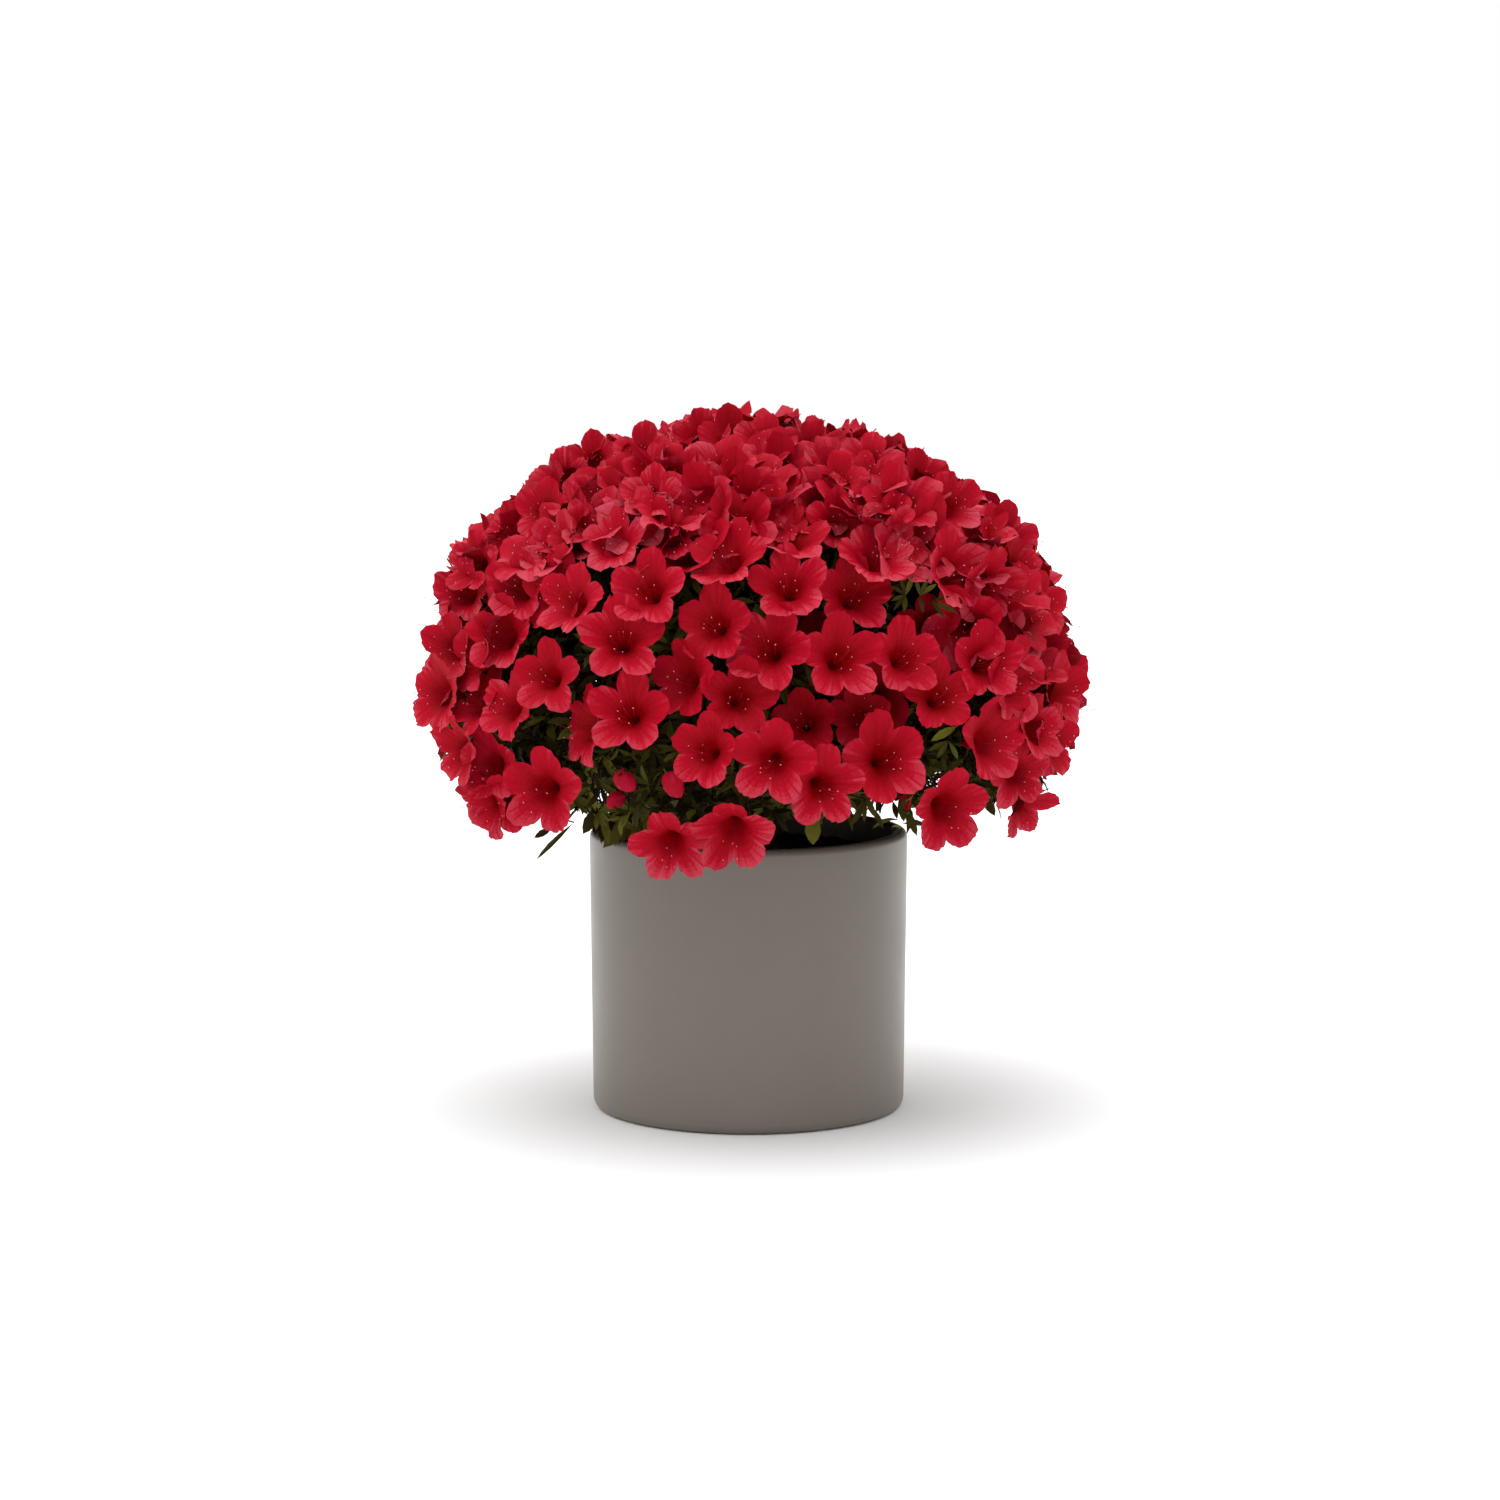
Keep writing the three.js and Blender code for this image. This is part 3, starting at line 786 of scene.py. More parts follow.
def more_blooms(chance, blooms):
    """Blooms all over the dome, no two too close, in the places that the list leaves."""
    bush = bpy.context.scene.azalea_bush
    spacings = (bush.bloom_spacing_low, bush.bloom_spacing_high)
    named = list(blooms)
    taken = [b.face for b in named]
    mouths = np.array(taken)
    feet = np.array([end for b in named for end in (bloom_foot(b), shoot_of(b))])
    lowest_rise = math.sin(math.radians(-33))
    for _ in range(BLOOM_TRIES):
        azimuth = chance.uniform(-math.pi, math.pi)
        rise = math.asin(chance.uniform(lowest_rise, 1))
        degrees = math.degrees(rise)
        way = outward(azimuth, rise)
        hit = shell_point(way)
        if hit is None or below_hem(hit, BLOOM_HEM):
            continue
        x, y = seen_at(hit)
        if any(math.hypot(x - g.x, y - g.y) < g.radius for g in (SEEN_GAPS if hit.y < 0 else OPEN_BEHIND)):
            continue
        behind = in_named_part(hit)
        point = np.array(hit)
        if behind and chance.random() < np.interp(y, (620, 760), (0.05, 0.35)):
            taken.append(point)
            continue
        spacing = np.interp(degrees, (0, 40), spacings) * (1 if behind else 0.9)
        if distance_to(taken, point) < spacing:
            continue
        taken.append(point)
        lift = axis_lift(degrees) + chance.normal(0, 15)
        if degrees > 45 and hit.y > 0:
            lift = max(lift, float(np.interp(degrees, (45, 68), (84, 102))))
        axis = outward(azimuth + chance.normal(0, 0.28), math.radians(lift))
        crowded = np.interp(degrees, (5, 45), (0, 1))
        sunk = chance.choice((0, 2, 5, 8, 12), p=(0.3, 0.25, 0.2, 0.15, 0.1))
        if behind:
            sunk = chance.uniform(17 - 9 * crowded, 30 - 9 * crowded)
        elif abs(way[1]) < 0.35:
            sunk = 0
        bloom = Bloom(
            face=point - way * (5 + sunk) * MM,
            axis=axis,
            top=top_of(axis, chance.normal(0, 0.3)),
            size=chance.uniform(0.98, 1.14),
            cup=chance.uniform(8, 13) + 4 * crowded * chance.random(),
            ruffle=1.5 * crowded * chance.random(),
            # The tint is painted light and shade: paler high on the dome, as painted light from above, and
            # darker the deeper a bloom is sunk, as painted shade. The spread about it is the blooms' own.
            tint=chance.normal(-0.8 + 1.6 * crowded, 1.0) - sunk / 10,
            bough=nearest_bough(point),
            weave="plain",
            seed=new_seed(chance),
        )
        bloom = fitted(bloom, way)
        if bloom is None or below_hem(bloom.face, BLOOM_HEM) or dome_share(shoot_of(bloom)) > SHOOT_REACH:
            continue
        lowest_end = min(lobe_ends(bloom), key=lambda p: p[2])
        if below_hem(lowest_end + np.array((0, 0, HEM_PLAY)), BLOOM_HEM):
            continue
        for deeper in DEEPER if behind else DEEPER[:1]:
            moved = bloom._replace(face=bloom.face - way * deeper * MM)
            ends = np.array((bloom_foot(moved), shoot_of(moved)))
            pokes = in_front_of_blooms(ends, blooms).any()
            pierced = in_front_of_blooms(feet, [moved]).any()
            covers = behind and in_front_of_blooms(lobe_ends(moved), named).any()
            over = above_blooms(mouths, [moved])
            crosses = behind and ((over > 0) & (over < THROAT_CLEAR)).any()
            if not (pokes or pierced or covers or crosses):
                blooms.append(moved)
                feet = np.concatenate((feet, ends))
                break
    return blooms


def bud_list(chance):
    """The buds that the picture shows, and some more in the leaves all round."""
    eye = camera_view()[0]
    buds = []
    for seen in SEEN_BUDS:
        way = view_way(seen.x, seen.y)
        middle = np.array(crown_shell().ray_cast(eye, way)[0] + way * BUD_UNDER * MM)
        length = seen.length * BUD_PIXEL * MM
        buds.append(Bud(middle, seen_axis(seen.right, seen.up), length, nearest_bough(middle)))
    for _ in range(BUD_TRIES):
        azimuth = chance.uniform(-math.pi, math.pi)
        rise = chance.uniform(-0.5, 0.5)
        way = outward(azimuth, rise)
        hit = shell_point(way)
        if hit is None or in_named_part(hit):
            continue
        middle = np.array(hit) - way * chance.uniform(8, 16) * MM
        axis = outward(azimuth + chance.normal(0, 0.4), rise + chance.uniform(0, 0.8))
        buds.append(Bud(middle, axis, chance.uniform(13, 18) * MM, nearest_bough(middle)))
    return buds


def bloom_foot(bloom):
    """The foot of a bloom's tube."""
    return bloom.face + bloom.axis * TUBE[0][1] * MM * bloom.size


def shoot_of(bloom):
    """Where the shoot ends that carries a bloom: behind the foot of its tube, and inwards."""
    foot = bloom_foot(bloom)
    return foot + unit(HEART - foot) * 9 * MM - bloom.axis * 2 * MM


def shoot_under(bud):
    """Where the shoot ends that carries a bud."""
    return bud.middle - bud.axis * (bud.length / 2 + 4 * MM)


def seen_leaves():
    """The leaves that the picture shows one by one, and a bare shoot under each of them."""
    eye = np.array(camera_view()[0])
    camera_side = np.array((0.1, -1, 0.35))
    shoots = {}
    leaves = []
    for seen in SEEN_LEAVES:
        ways = [np.array(view_way(x, y)) for x, y in ((seen.x, seen.y), (seen.tip_x, seen.tip_y))]
        base, tip = (eye + way * (-seen.depth * MM - eye[1]) / way[1] for way in ways)
        base[1] += 5 * MM
        length = float(np.linalg.norm(tip - base))
        along = (tip - base) / length
        facing = unit(camera_side - along * np.dot(along, camera_side))
        turn = turned(along, facing)
        bough = nearest_bough(base)
        leaves.append(Leaf(base, turn, length, seen.across * PIXEL, seen.tint, 0, bough))
        shoots[seen.x, seen.y] = Shoot(base, unit(along - unit(HEART - base)), 0, 0.0, 0, 0, bough)
    return list(shoots.values()), leaves


def turned(along, facing):
    """The turn of a leaf, from where its tip and its upper side point."""
    return Matrix(np.column_stack((np.cross(along, facing), along, facing)).tolist()).to_euler()


def leaf_shoots(chance, blooms, buds):
    """The shoots: one under each bloom and bud, and more among them and under the crown."""
    shoots = []

    def add(tip, axis, leaves, length, spread, bough):
        """Adds a shoot with a shade that is drawn, and then a number of leaves between two."""
        tint = int(chance.choice(LEAF_SHADES, p=SHADE_SHARES))
        count = leaves[0] if len(leaves) == 1 else int(chance.integers(*leaves))
        shoots.append(Shoot(tip, axis, count, length, spread, tint, bough))

    def takes(tip, spacing):
        """Whether a place is free, which it then is no more."""
        if distance_to(taken, tip) < spacing:
            return False
        taken.append(tip)
        return True

    for bloom in blooms:
        add(shoot_of(bloom), bloom.axis, (6, 10), 1.0, 66, bloom.bough)
    for bud in buds:
        add(shoot_under(bud), bud.axis, (7,), 0.9, 55, bud.bough)
    taken = [s.tip for s in shoots]
    for _ in range(OUTER_TRIES):
        azimuth = chance.uniform(-math.pi, math.pi)
        rise = math.asin(chance.uniform(-0.6, 1))
        way = outward(azimuth, rise)
        hit = shell_point(way)
        if hit is None:
            continue
        tip = np.array(hit) - way * chance.uniform(22, 50) * MM
        if below_hem(tip) or dome_share(tip) > SHOOT_REACH or not takes(tip, 14.5 * MM):
            continue
        lift = math.radians(axis_lift(math.degrees(rise)) * 0.8 + chance.normal(0, 16))
        axis = outward(azimuth + chance.normal(0, 0.3), lift)
        add(tip, axis, (9, 14), 1.0, 52, nearest_bough(tip))
    for _ in range(HEART_TRIES):
        azimuth = chance.uniform(-math.pi, math.pi)
        way = outward(azimuth, math.asin(chance.uniform(-0.35, 0.9)))
        hit = shell_point(way)
        if hit is None:
            continue
        tip = np.array(hit) - way * chance.uniform(55, 100) * MM
        if not below_hem(tip) and dome_share(tip) <= SHOOT_REACH and takes(tip, 13 * MM):
            shoots.append(Shoot(tip, way, 12, 1.15, 60, 0, nearest_bough(tip)))
    eye = camera_view()[0]
    for x, y in SHADED:
        way = view_way(x, y)
        tip = np.array(crown_shell().ray_cast(eye, way)[0] + way * SHADE_DEPTH * MM)
        shoots.append(Shoot(tip, -np.array(way), 14, 1.15, 62, 0, nearest_bough(tip)))
    for _ in range(HEM_TRIES):
        azimuth = chance.uniform(-math.pi, math.pi)
        reach = math.sqrt(chance.uniform(0.09**2, 0.19**2))
        foot = Vector((reach * math.cos(azimuth), reach * math.sin(azimuth), 0.1))
        hit = crown_shell().ray_cast(foot, UP)[0]
        if hit is None:
            continue
        tip = np.array(hit) + np.array((0, 0, chance.uniform(4, 14) * MM))
        if not below_hem(tip) and takes(tip, 14.5 * MM):
            axis = outward(azimuth + chance.normal(0, 0.4), math.radians(chance.uniform(-35, 10)))
            add(tip, axis, (8, 13), 0.95, 48, nearest_bough(tip))
    return shoots


def above_blooms(points, blooms):
    """For each point and each bloom, how high the point stands over the bloom's sheet, or
    nothing where it isn't in the bloom's open face."""
    faces = np.array([b.face for b in blooms])
    axes = np.array([b.axis for b in blooms])
    sizes = np.array([b.size for b in blooms]) * MM
    radii = [radius for radius, _ in TUBE] + [LOBE_REACH]
    levels = [level for _, level in TUBE] + [0]
    apart = points[:, None, :] - faces[None, :, :]
    level = np.einsum("pbk,bk->pb", apart, axes)
    radius = np.sqrt(np.maximum((apart**2).sum(2) - level**2, 0))
    surface = np.interp(radius / sizes, radii, levels) * sizes
    play = 1.5 * MM
    inside = (radius < 27 * sizes) & (level > surface - play) & (level < 26 * MM)
    return np.where(inside, level - surface + play, 0)


def in_front_of_blooms(points, blooms):
    """Which points stand in the open face of a bloom, where a leaf would poke through it."""
    return above_blooms(points, blooms).any(1)


def behind_blooms(points, blooms):
    """Points, moved back behind each bloom in whose open face they stand."""
    above = above_blooms(points, blooms)
    axes = np.array([b.axis for b in blooms])[above.argmax(1)]
    highest = above.max(1)
    return points - axes * (highest + 2 * MM * (highest > 0))[:, None]


def leaves_of(shoots, blooms, chance):
    """Leaves in a spiral up each shoot, without those that would poke through a bloom."""
    bush = bpy.context.scene.azalea_bush
    leaves = []
    tips = []
    for shoot in shoots:
        lean = top_of(shoot.axis, chance.uniform(0, FULL_TURN))
        across = np.cross(shoot.axis, lean)
        for i in range(shoot.leaves):
            turn = i * LEAF_TURN + chance.normal(0, 0.15)
            up_shoot = i / max(shoot.leaves - 1, 1)
            spread = math.radians(shoot.spread + 24 * (1 - up_shoot) - 14 * up_shoot)
            spread += chance.normal(0, 0.16)
            out = lean * math.cos(turn) + across * math.sin(turn)
            way = shoot.axis * math.cos(spread) + out * math.sin(spread)
            facing = shoot.axis * math.sin(spread) - out * math.cos(spread)
            base = shoot.tip - shoot.axis * (1 - up_shoot) * 15 * MM
            length = bush.leaf_length * shoot.length * chance.uniform(0.72, 1.12)
            length *= 0.78 + 0.22 * (1 - up_shoot)
            width = length * bush.leaf_width / bush.leaf_length
            tint = int(np.clip(shoot.tint + chance.integers(-1, 2), 0, LEAF_SHADES - 1))
            shape = int(chance.integers(len(LEAF_SHAPES)))
            leaves.append(Leaf(base, turned(way, facing), length, width, tint, shape, shoot.bough))
            tips.append(base + way * length)
    bases = np.array([leaf.base for leaf in leaves])
    tips = np.array(tips)
    poking = outline_excess(tips) > 0
    batch = 1500
    for share in (0.2, 0.4, 0.6, 1):
        points = bases + (tips - bases) * share
        for first in range(0, len(leaves), batch):
            some = slice(first, first + batch)
            poking[some] |= in_front_of_blooms(points[some], blooms)
    for share in (0, 0.6, 1):
        places = np.array([seen_at(p) for p in bases + (tips - bases) * share])
        for sky in SEEN_SKY:
            apart = np.hypot(places[:, 0] - sky.x, places[:, 1] - sky.y)
            poking |= apart < sky.radius + SKY_CLEAR
    return [leaf for leaf, pokes in zip(leaves, poking) if not pokes]


def twig_radius(shoots):
    """How thick a twig is that carries so many shoots."""
    return bpy.context.scene.azalea_bush.twig_radius * shoots**0.32


def fork(start, heading, group, bough, chance, twigs):
    """Grows the twigs of a group of shoots: each fork serves smaller and smaller groups."""
    if len(group) == 1:
        shoot = group[0]
        length = float(np.linalg.norm(shoot.tip - start))
        bend = chance.normal(0, 0.06, 3) * length
        pull = heading * length * 0.3 + bend
        points = curve_points(start, pull, shoot.tip, shoot.axis * length * 0.35, 6)
        radii = np.linspace(twig_radius(1) * 1.25, twig_radius(1) * 0.85, 6)
        twigs.append(Twig(points, radii, False, bough))
        return
    ways = np.array([unit(s.tip - start) for s in group])
    first = int(chance.integers(len(group)))
    one = int(np.argmin(ways @ ways[first]))
    other = int(np.argmin(ways @ ways[one]))
    closer = (ways @ ways[one]) > (ways @ ways[other])
    closer[one] = True
    closer[other] = False
    for half in (closer, ~closer):
        part = [s for s, belongs in zip(group, half) if belongs]
        if len(part) == 1:
            fork(start, heading, part, bough, chance, twigs)
            continue
        gap = sum(s.tip for s in part) / len(part) - start
        length = float(np.linalg.norm(gap))
        share = chance.uniform(0.34, 0.5) if len(part) > 2 else chance.uniform(0.5, 0.65)
        node = start + gap * share + chance.normal(0, 0.03, 3) * length
        onward = unit(heading * 0.35 + gap / length + np.array((0, 0, 0.12)))
        pull = float(np.linalg.norm(node - start)) * 0.35
        points = curve_points(start, heading * pull, node, onward * pull, 5)
        radii = np.linspace(twig_radius(len(part)) * 1.15, twig_radius(len(part)), 5)
        twigs.append(Twig(points, radii, False, bough))
        fork(node, onward, part, bough, chance, twigs)


def stalk(start, pull, foot, end_pull, widest, bough):
    """The green stalk of a bloom or a bud, which widens at its end."""
    radii = np.array((0.7, 0.65, 0.8, widest)) * MM
    return Twig(curve_points(start, pull, foot, end_pull, len(radii)), radii, True, bough)


@functools.cache
def grown_bush():
    """The whole bush, grown once: its blooms, buds, leaves and twigs."""
    chance = np.random.default_rng(bpy.context.scene.azalea_bush.seed)
    blooms = more_blooms(chance, seen_blooms(chance))
    buds = bud_list(chance)
    shoots = leaf_shoots(chance, blooms, buds)
    single_shoots, single_leaves = seen_leaves()
    leaves = leaves_of(shoots, blooms, chance) + single_leaves
    shoots += single_shoots
    twigs = []
    for name, (tip, heading, _) in bough_tips().items():
        own = [s for s in shoots if s.bough == name]
        if own:
            fork(tip, heading, own, name, chance, twigs)
    for _ in range(2):
        twigs = [t._replace(points=behind_blooms(t.points, blooms)) for t in twigs]
    for bloom in blooms:
        foot = bloom_foot(bloom)
        start = shoot_of(bloom)
        twigs.append(stalk(start, (foot - start) * 0.4, foot, bloom.axis * 4 * MM, 1.7, bloom.bough))
    for bud in buds:
        foot = bud.middle - bud.axis * bud.length * 0.45
        pull = bud.axis * 2 * MM
        twigs.append(stalk(shoot_under(bud), pull, foot, pull, 1.6, bud.bough))
    return Bush(blooms, buds, leaves, twigs)


def steepness_of(cup):
    """How much narrower a bloom looks from in front, the deeper its cup is."""
    return 1 / math.sqrt(1 + (cup / 22) ** 2)


def columns_of(weave):
    """The lobe, the share of its half width and the angle of each column of a bloom's sheet."""
    across = np.array(weave.across[:-1])
    halves = np.radians(LOBE_HALVES)
    middles = 2 * np.cumsum(halves) - halves - halves[0]
    lobe = np.repeat(np.arange(LOBES), len(across))
    share = np.tile(across, LOBES)
    return lobe, share, middles[lobe] + halves[lobe] * share


def bloom_points(bloom, weave):
    """The points of one bloom in its own frame, in mm, ring by ring: the tube, then the
    lobes, which are one sheet as far as the notches between them."""
    chance = np.random.default_rng(bloom.seed)
    lobe, share, angle = columns_of(weave)
    beside = (lobe + np.sign(share).astype(int)) % LOBES
    edge = np.abs(share)
    free = 1 - edge**3
    rings = []
    for i in weave.tube:
        radius, level = TUBE[i]
        out = radius * (1 + FLUTE * i / (len(TUBE) - 1) * np.cos(LOBES * angle))
        rings.append((out * np.sin(angle), out * np.cos(angle), 0 * angle + level))
    lengths = np.array(LOBE_LENGTHS) * chance.uniform(0.94, 1.05, LOBES)
    recurve = chance.uniform(0.3, 4, LOBES) + np.array(LOBE_BENDS)
    bend = recurve[lobe] * (1 - edge / 2) + recurve[beside] * edge / 2
    pitch = chance.normal(0, 1.9, LOBES)
    twist = chance.normal(0, 1.7, LOBES)
    wave = chance.uniform(0.5, 1.5, LOBES) * (1 + bloom.ruffle)
    phase = chance.uniform(0, FULL_TURN, LOBES)
    frill = chance.normal(0, 0.36 * (1 + bloom.ruffle), (2, len(angle)))
    notches = NOTCH + chance.uniform(-NOTCH_PLAY, NOTCH_PLAY, LOBES)
    notch = notches[(lobe - (share < 0)) % LOBES]
    ends = notch + (lengths[lobe] - notch) * (1 - edge**LOBE_POWER) + frill[0] * free
    groove = MIDDLE_DEPTH * np.exp(-((share / MIDDLE_WIDTH) ** 2))
    groove += VEIN_DEPTH * np.isin(edge, SIDE_VEINS)
    for row in weave.along:
        reach = MOUTH + row * (ends - MOUTH)
        far = (reach - MOUTH) / (LOBE_REACH - MOUTH)
        near = np.clip(far, 0, 1)
        beyond = np.clip((reach - LEAN_FROM) / (LOBE_REACH - LEAN_FROM), 0, 1)
        level = MOUTH_LEVEL + bloom.cup * (1 - (1 - near) ** 1.15) - bend * far**2.6
        level -= EDGE_DROP * edge**3 * near + groove * np.sin(math.pi * near)
        level += (pitch[lobe] + twist[lobe] * share) * beyond * free
        level += LOBE_LAP * share * beyond**0.5 * free
        level += wave[lobe] * row**3 * np.sin(phase[lobe] + 5.5 * share) * free
        level += frill[1] * row**6
        out = MOUTH + (reach - MOUTH) * steepness_of(bloom.cup)
        past_notch = np.clip((reach - notch) / (LOBE_REACH - notch), 0, 1)
        flare = LOBE_FLARE * np.sin(math.pi * past_notch) ** 0.6
        turn = angle + flare * np.radians(LOBE_HALVES)[lobe] * share
        rings.append((out * np.sin(turn), out * np.cos(turn), level))
    return np.concatenate([np.stack(ring, 1) for ring in rings])


def bloom_faces(weave):
    """The faces of a bloom, the shade of each and its lobe. The faces deep in the tube have a
    shade past all others, which stands for the last material, the tube's painted glow."""
    lobe, share, _ = columns_of(weave)
    columns = len(lobe)
    widths = np.tile(np.diff(weave.across), LOBES)
    middle = np.abs(share + widths / 2)
    vein = np.where((widths < VEIN_WIDTH) & (middle < 0.75), VEIN_SHADE, FIELD_SHADE)
    pale = END_PALER + np.array(LOBE_PALENESS)[lobe]
    # The faces deep in the tube get no shade: they take the tube's painted glow.
    shades = [np.full(columns, np.inf)] * (len(weave.tube) - 2) + [np.full(columns, EDGE_SHADE)]
    for inner, outer in zip((0, *weave.along), weave.along):
        along = (inner + outer) / 2
        shade = THROAT_SHADE + pale * (1 - (1 - along) ** 1.5)
        shade += vein * min(1, 1.6 * along) * (1 - along**3)
        shades.append(shade + 0.6 * middle**2 * along)
    low = np.arange(len(shades) * columns).reshape(-1, columns)
    following = np.roll(low, -1, 1)
    faces = np.stack((low, following, following + columns, low + columns), 2).reshape(-1, 4)
    return faces, np.concatenate(shades), np.tile(lobe, len(shades))


def in_place(points, bloom):
    """Points of a bloom's own frame, in mm, moved to where it stands."""
    basis = np.stack((np.cross(bloom.top, bloom.axis), bloom.top, bloom.axis))
    return bloom.face + points * bloom.size * MM @ basis


def band(low, sides):
    """The faces between a ring of vertices, which starts at a number, and the next ring."""
    pairs = [(k, (k + 1) % sides) for k in range(sides)]
    return [(low + a, low + b, low + b + sides, low + a + sides) for a, b in pairs]


def ring_points(middle, side, other, angles, reach):
    """A ring of points round a place, at some angles and as far out as each reach says."""
    ways = np.outer(np.cos(angles), side) + np.outer(np.sin(angles), other)
    return middle + ways * np.reshape(reach, (-1, 1))


def stamen_mesh(bloom, chance):
    """The stamens and, last, the style of one bloom: thin threads, each with a pale tip. Its
    own frame has the face's middle at nothing, and is in mm."""
    vertices = []
    faces = []
    kinds = []
    short = 1 - 0.75 * max(bloom.axis[2], 0)
    stamens = 5
    sides = 3
    for i in range(stamens + 1):
        is_style = i == stamens
        angle = FULL_TURN * i / stamens + chance.normal(0, 0.2)
        reach = 2.0 if is_style else chance.uniform(3.5, 7.5)
        height = short * (chance.uniform(15, 21) if is_style else chance.uniform(4, 13))
        foot = np.array((0.7 * math.sin(angle), 0.7 * math.cos(angle), -21))
        end = np.array((reach * math.sin(angle), reach * math.cos(angle) - 2.5, height))
        line = curve_points(foot, np.array((0, -2.0, 9)), end, np.array((0, 2.5, 5)), 5)
        for j, middle in enumerate(line):
            turns = np.arange(sides) * FULL_TURN / sides
            low = len(vertices)
            vertices.extend(ring_points(middle, (0, 1, 0), (1, 0, 0), turns, 0.19 - 0.015 * j))
            if j < len(line) - 1:
                faces.extend((a, d, c, b) for a, b, c, d in band(low, sides))
                kinds.extend([0] * sides)
        wide, long = (0.4, 0.4) if is_style else (0.33, 0.62)
        lean = unit(chance.normal(0, 1, 3))
        axes = np.linalg.svd(lean[None, :])[2]
        tip = len(vertices)
        for way in axes[1:]:
            vertices.extend((end + way * wide, end - way * wide))
        vertices.extend((end + lean * long, end - lean * long))
        around = (tip, tip + 2, tip + 1, tip + 3)
        if np.dot(np.cross(axes[1], axes[2]), lean) < 0:
            around = around[::-1]
        for near, far in zip(around, (*around[1:], around[0])):
            faces.extend(((near, far, tip + 4), (far, near, tip + 5)))
            kinds.extend([2 if is_style else 1] * 2)
    return np.array(vertices), faces, kinds


def leaf_template(name, droop, twist):
    """One leaf of length and width 1: narrow at both ends, folded along its main vein."""
    vertices = []
    for along, width in LEAF_OUTLINE:
        level = 0.1 * math.sin(math.pi * along * 0.7) - droop * along**2
        vertices.append((0, along, level))
        if 0 < along < 1:
            roll = twist * along
            for x in (-width / 2, width / 2):
                lift = (0.28 * width / 2 + x * math.sin(roll)) * 0.35
                vertices.append((x * math.cos(roll), along, level + lift))
    faces = [(0, 2, 1), (0, 1, 3)]
    for low in (1, 4, 7):
        high = low + 3
        faces.append((low + 1, high + 1, high, low))
        faces.append((low, high, high + 2, low + 2))
    faces += [(11, 13, 10), (10, 13, 12)]
    return mesh_object(name, vertices, [f[::-1] for f in faces])


def leaf_tree():
    """A leaf on every point, turned and sized by the point, in the shade of its shoot."""
    shades = [f"Shade {i + 1}" for i in range(LEAF_SHADES)]
    inputs = {"Geometry": "Geometry"}
    inputs.update({name: "Object" for name in LEAF_SHAPES})
    inputs.update({name: "Material" for name in shades})
    tree, given, result = new_tree("azalea_leaves", inputs)
    shapes = add_node(tree, "GeometryNodeJoinGeometry")
    for name in reversed(LEAF_SHAPES):
        sockets = {"Object": given[name], "As Instance": True}
        info = add_node(tree, "GeometryNodeObjectInfo", sockets)
        tree.links.new(info.outputs["Geometry"], shapes.inputs[0])
    read = {}
    for name, kind in LEAF_VALUES.items():
        value = add_node(tree, "GeometryNodeInputNamedAttribute", {"Name": name}, data_type=kind)
        read[name] = value.outputs[0]
    size = {"X": read["width"], "Y": read["length"], "Z": read["length"]}
    sockets = {
        "Points": given["Geometry"],
        "Instance": shapes.outputs[0],
        "Pick Instance": True,
        "Instance Index": read["shape"],
        "Rotation": add_node(tree, "FunctionNodeEulerToRotation", {"Euler": read["turn"]}).outputs[0],
        "Scale": add_node(tree, "ShaderNodeCombineXYZ", size).outputs[0],
    }
    placed = add_node(tree, "GeometryNodeInstanceOnPoints", sockets)
    last = add_node(tree, "GeometryNodeRealizeInstances", {"Geometry": placed.outputs[0]})
    for i, name in enumerate(shades):
        ends = {2: read["tint"], 3: i}
        same = add_node(tree, "FunctionNodeCompare", ends, data_type="INT", operation="EQUAL")
        sockets = {"Geometry": last.outputs[0], "Selection": same.outputs[0], "Material": given[name]}
        last = add_node(tree, "GeometryNodeSetMaterial", sockets)
    tree.links.new(last.outputs[0], result)
    return tree


def twig_tree():
    """A round twig along every line, as thick as the line says."""
    inputs = {"Geometry": "Geometry", "Sides": "Int", "Bark": "Material", "Green shoot": "Material"}
    tree, given, result = new_tree("azalea_twigs", inputs)
    read = "GeometryNodeInputNamedAttribute"
    radius = add_node(tree, read, {"Name": "radius_here"}, data_type="FLOAT")
    young = add_node(tree, read, {"Name": "young"}, data_type="BOOLEAN")
    lines = add_node(tree, "GeometryNodeMeshToCurve", {"Mesh": given["Geometry"]})
    sockets = {"Resolution": given["Sides"], "Radius": 1.0}
    section = add_node(tree, "GeometryNodeCurvePrimitiveCircle", sockets)
    sockets = {
        "Curve": lines.outputs[0],
        "Profile Curve": section.outputs["Curve"],
        "Scale": radius.outputs[0],
        "Fill Caps": True,
    }
    twigs = add_node(tree, "GeometryNodeCurveToMesh", sockets)
    solid = add_node(tree, "GeometryNodeRealizeInstances", {"Geometry": twigs.outputs[0]})
    sockets = {"Geometry": solid.outputs[0], "Material": given["Bark"]}
    woody = add_node(tree, "GeometryNodeSetMaterial", sockets)
    sockets = {
        "Geometry": woody.outputs[0],
        "Selection": young.outputs[0],
        "Material": given["Green shoot"],
    }
    green = add_node(tree, "GeometryNodeSetMaterial", sockets)
    tree.links.new(green.outputs[0], result)
    return tree


def give_attribute(mesh, name, kind, values):
    """Writes one value for each point of a mesh."""
    field = "vector" if kind == "FLOAT_VECTOR" else "value"
    made = mesh.attributes.new(name, kind, "POINT")
    made.data.foreach_set(field, np.asarray(values).ravel())


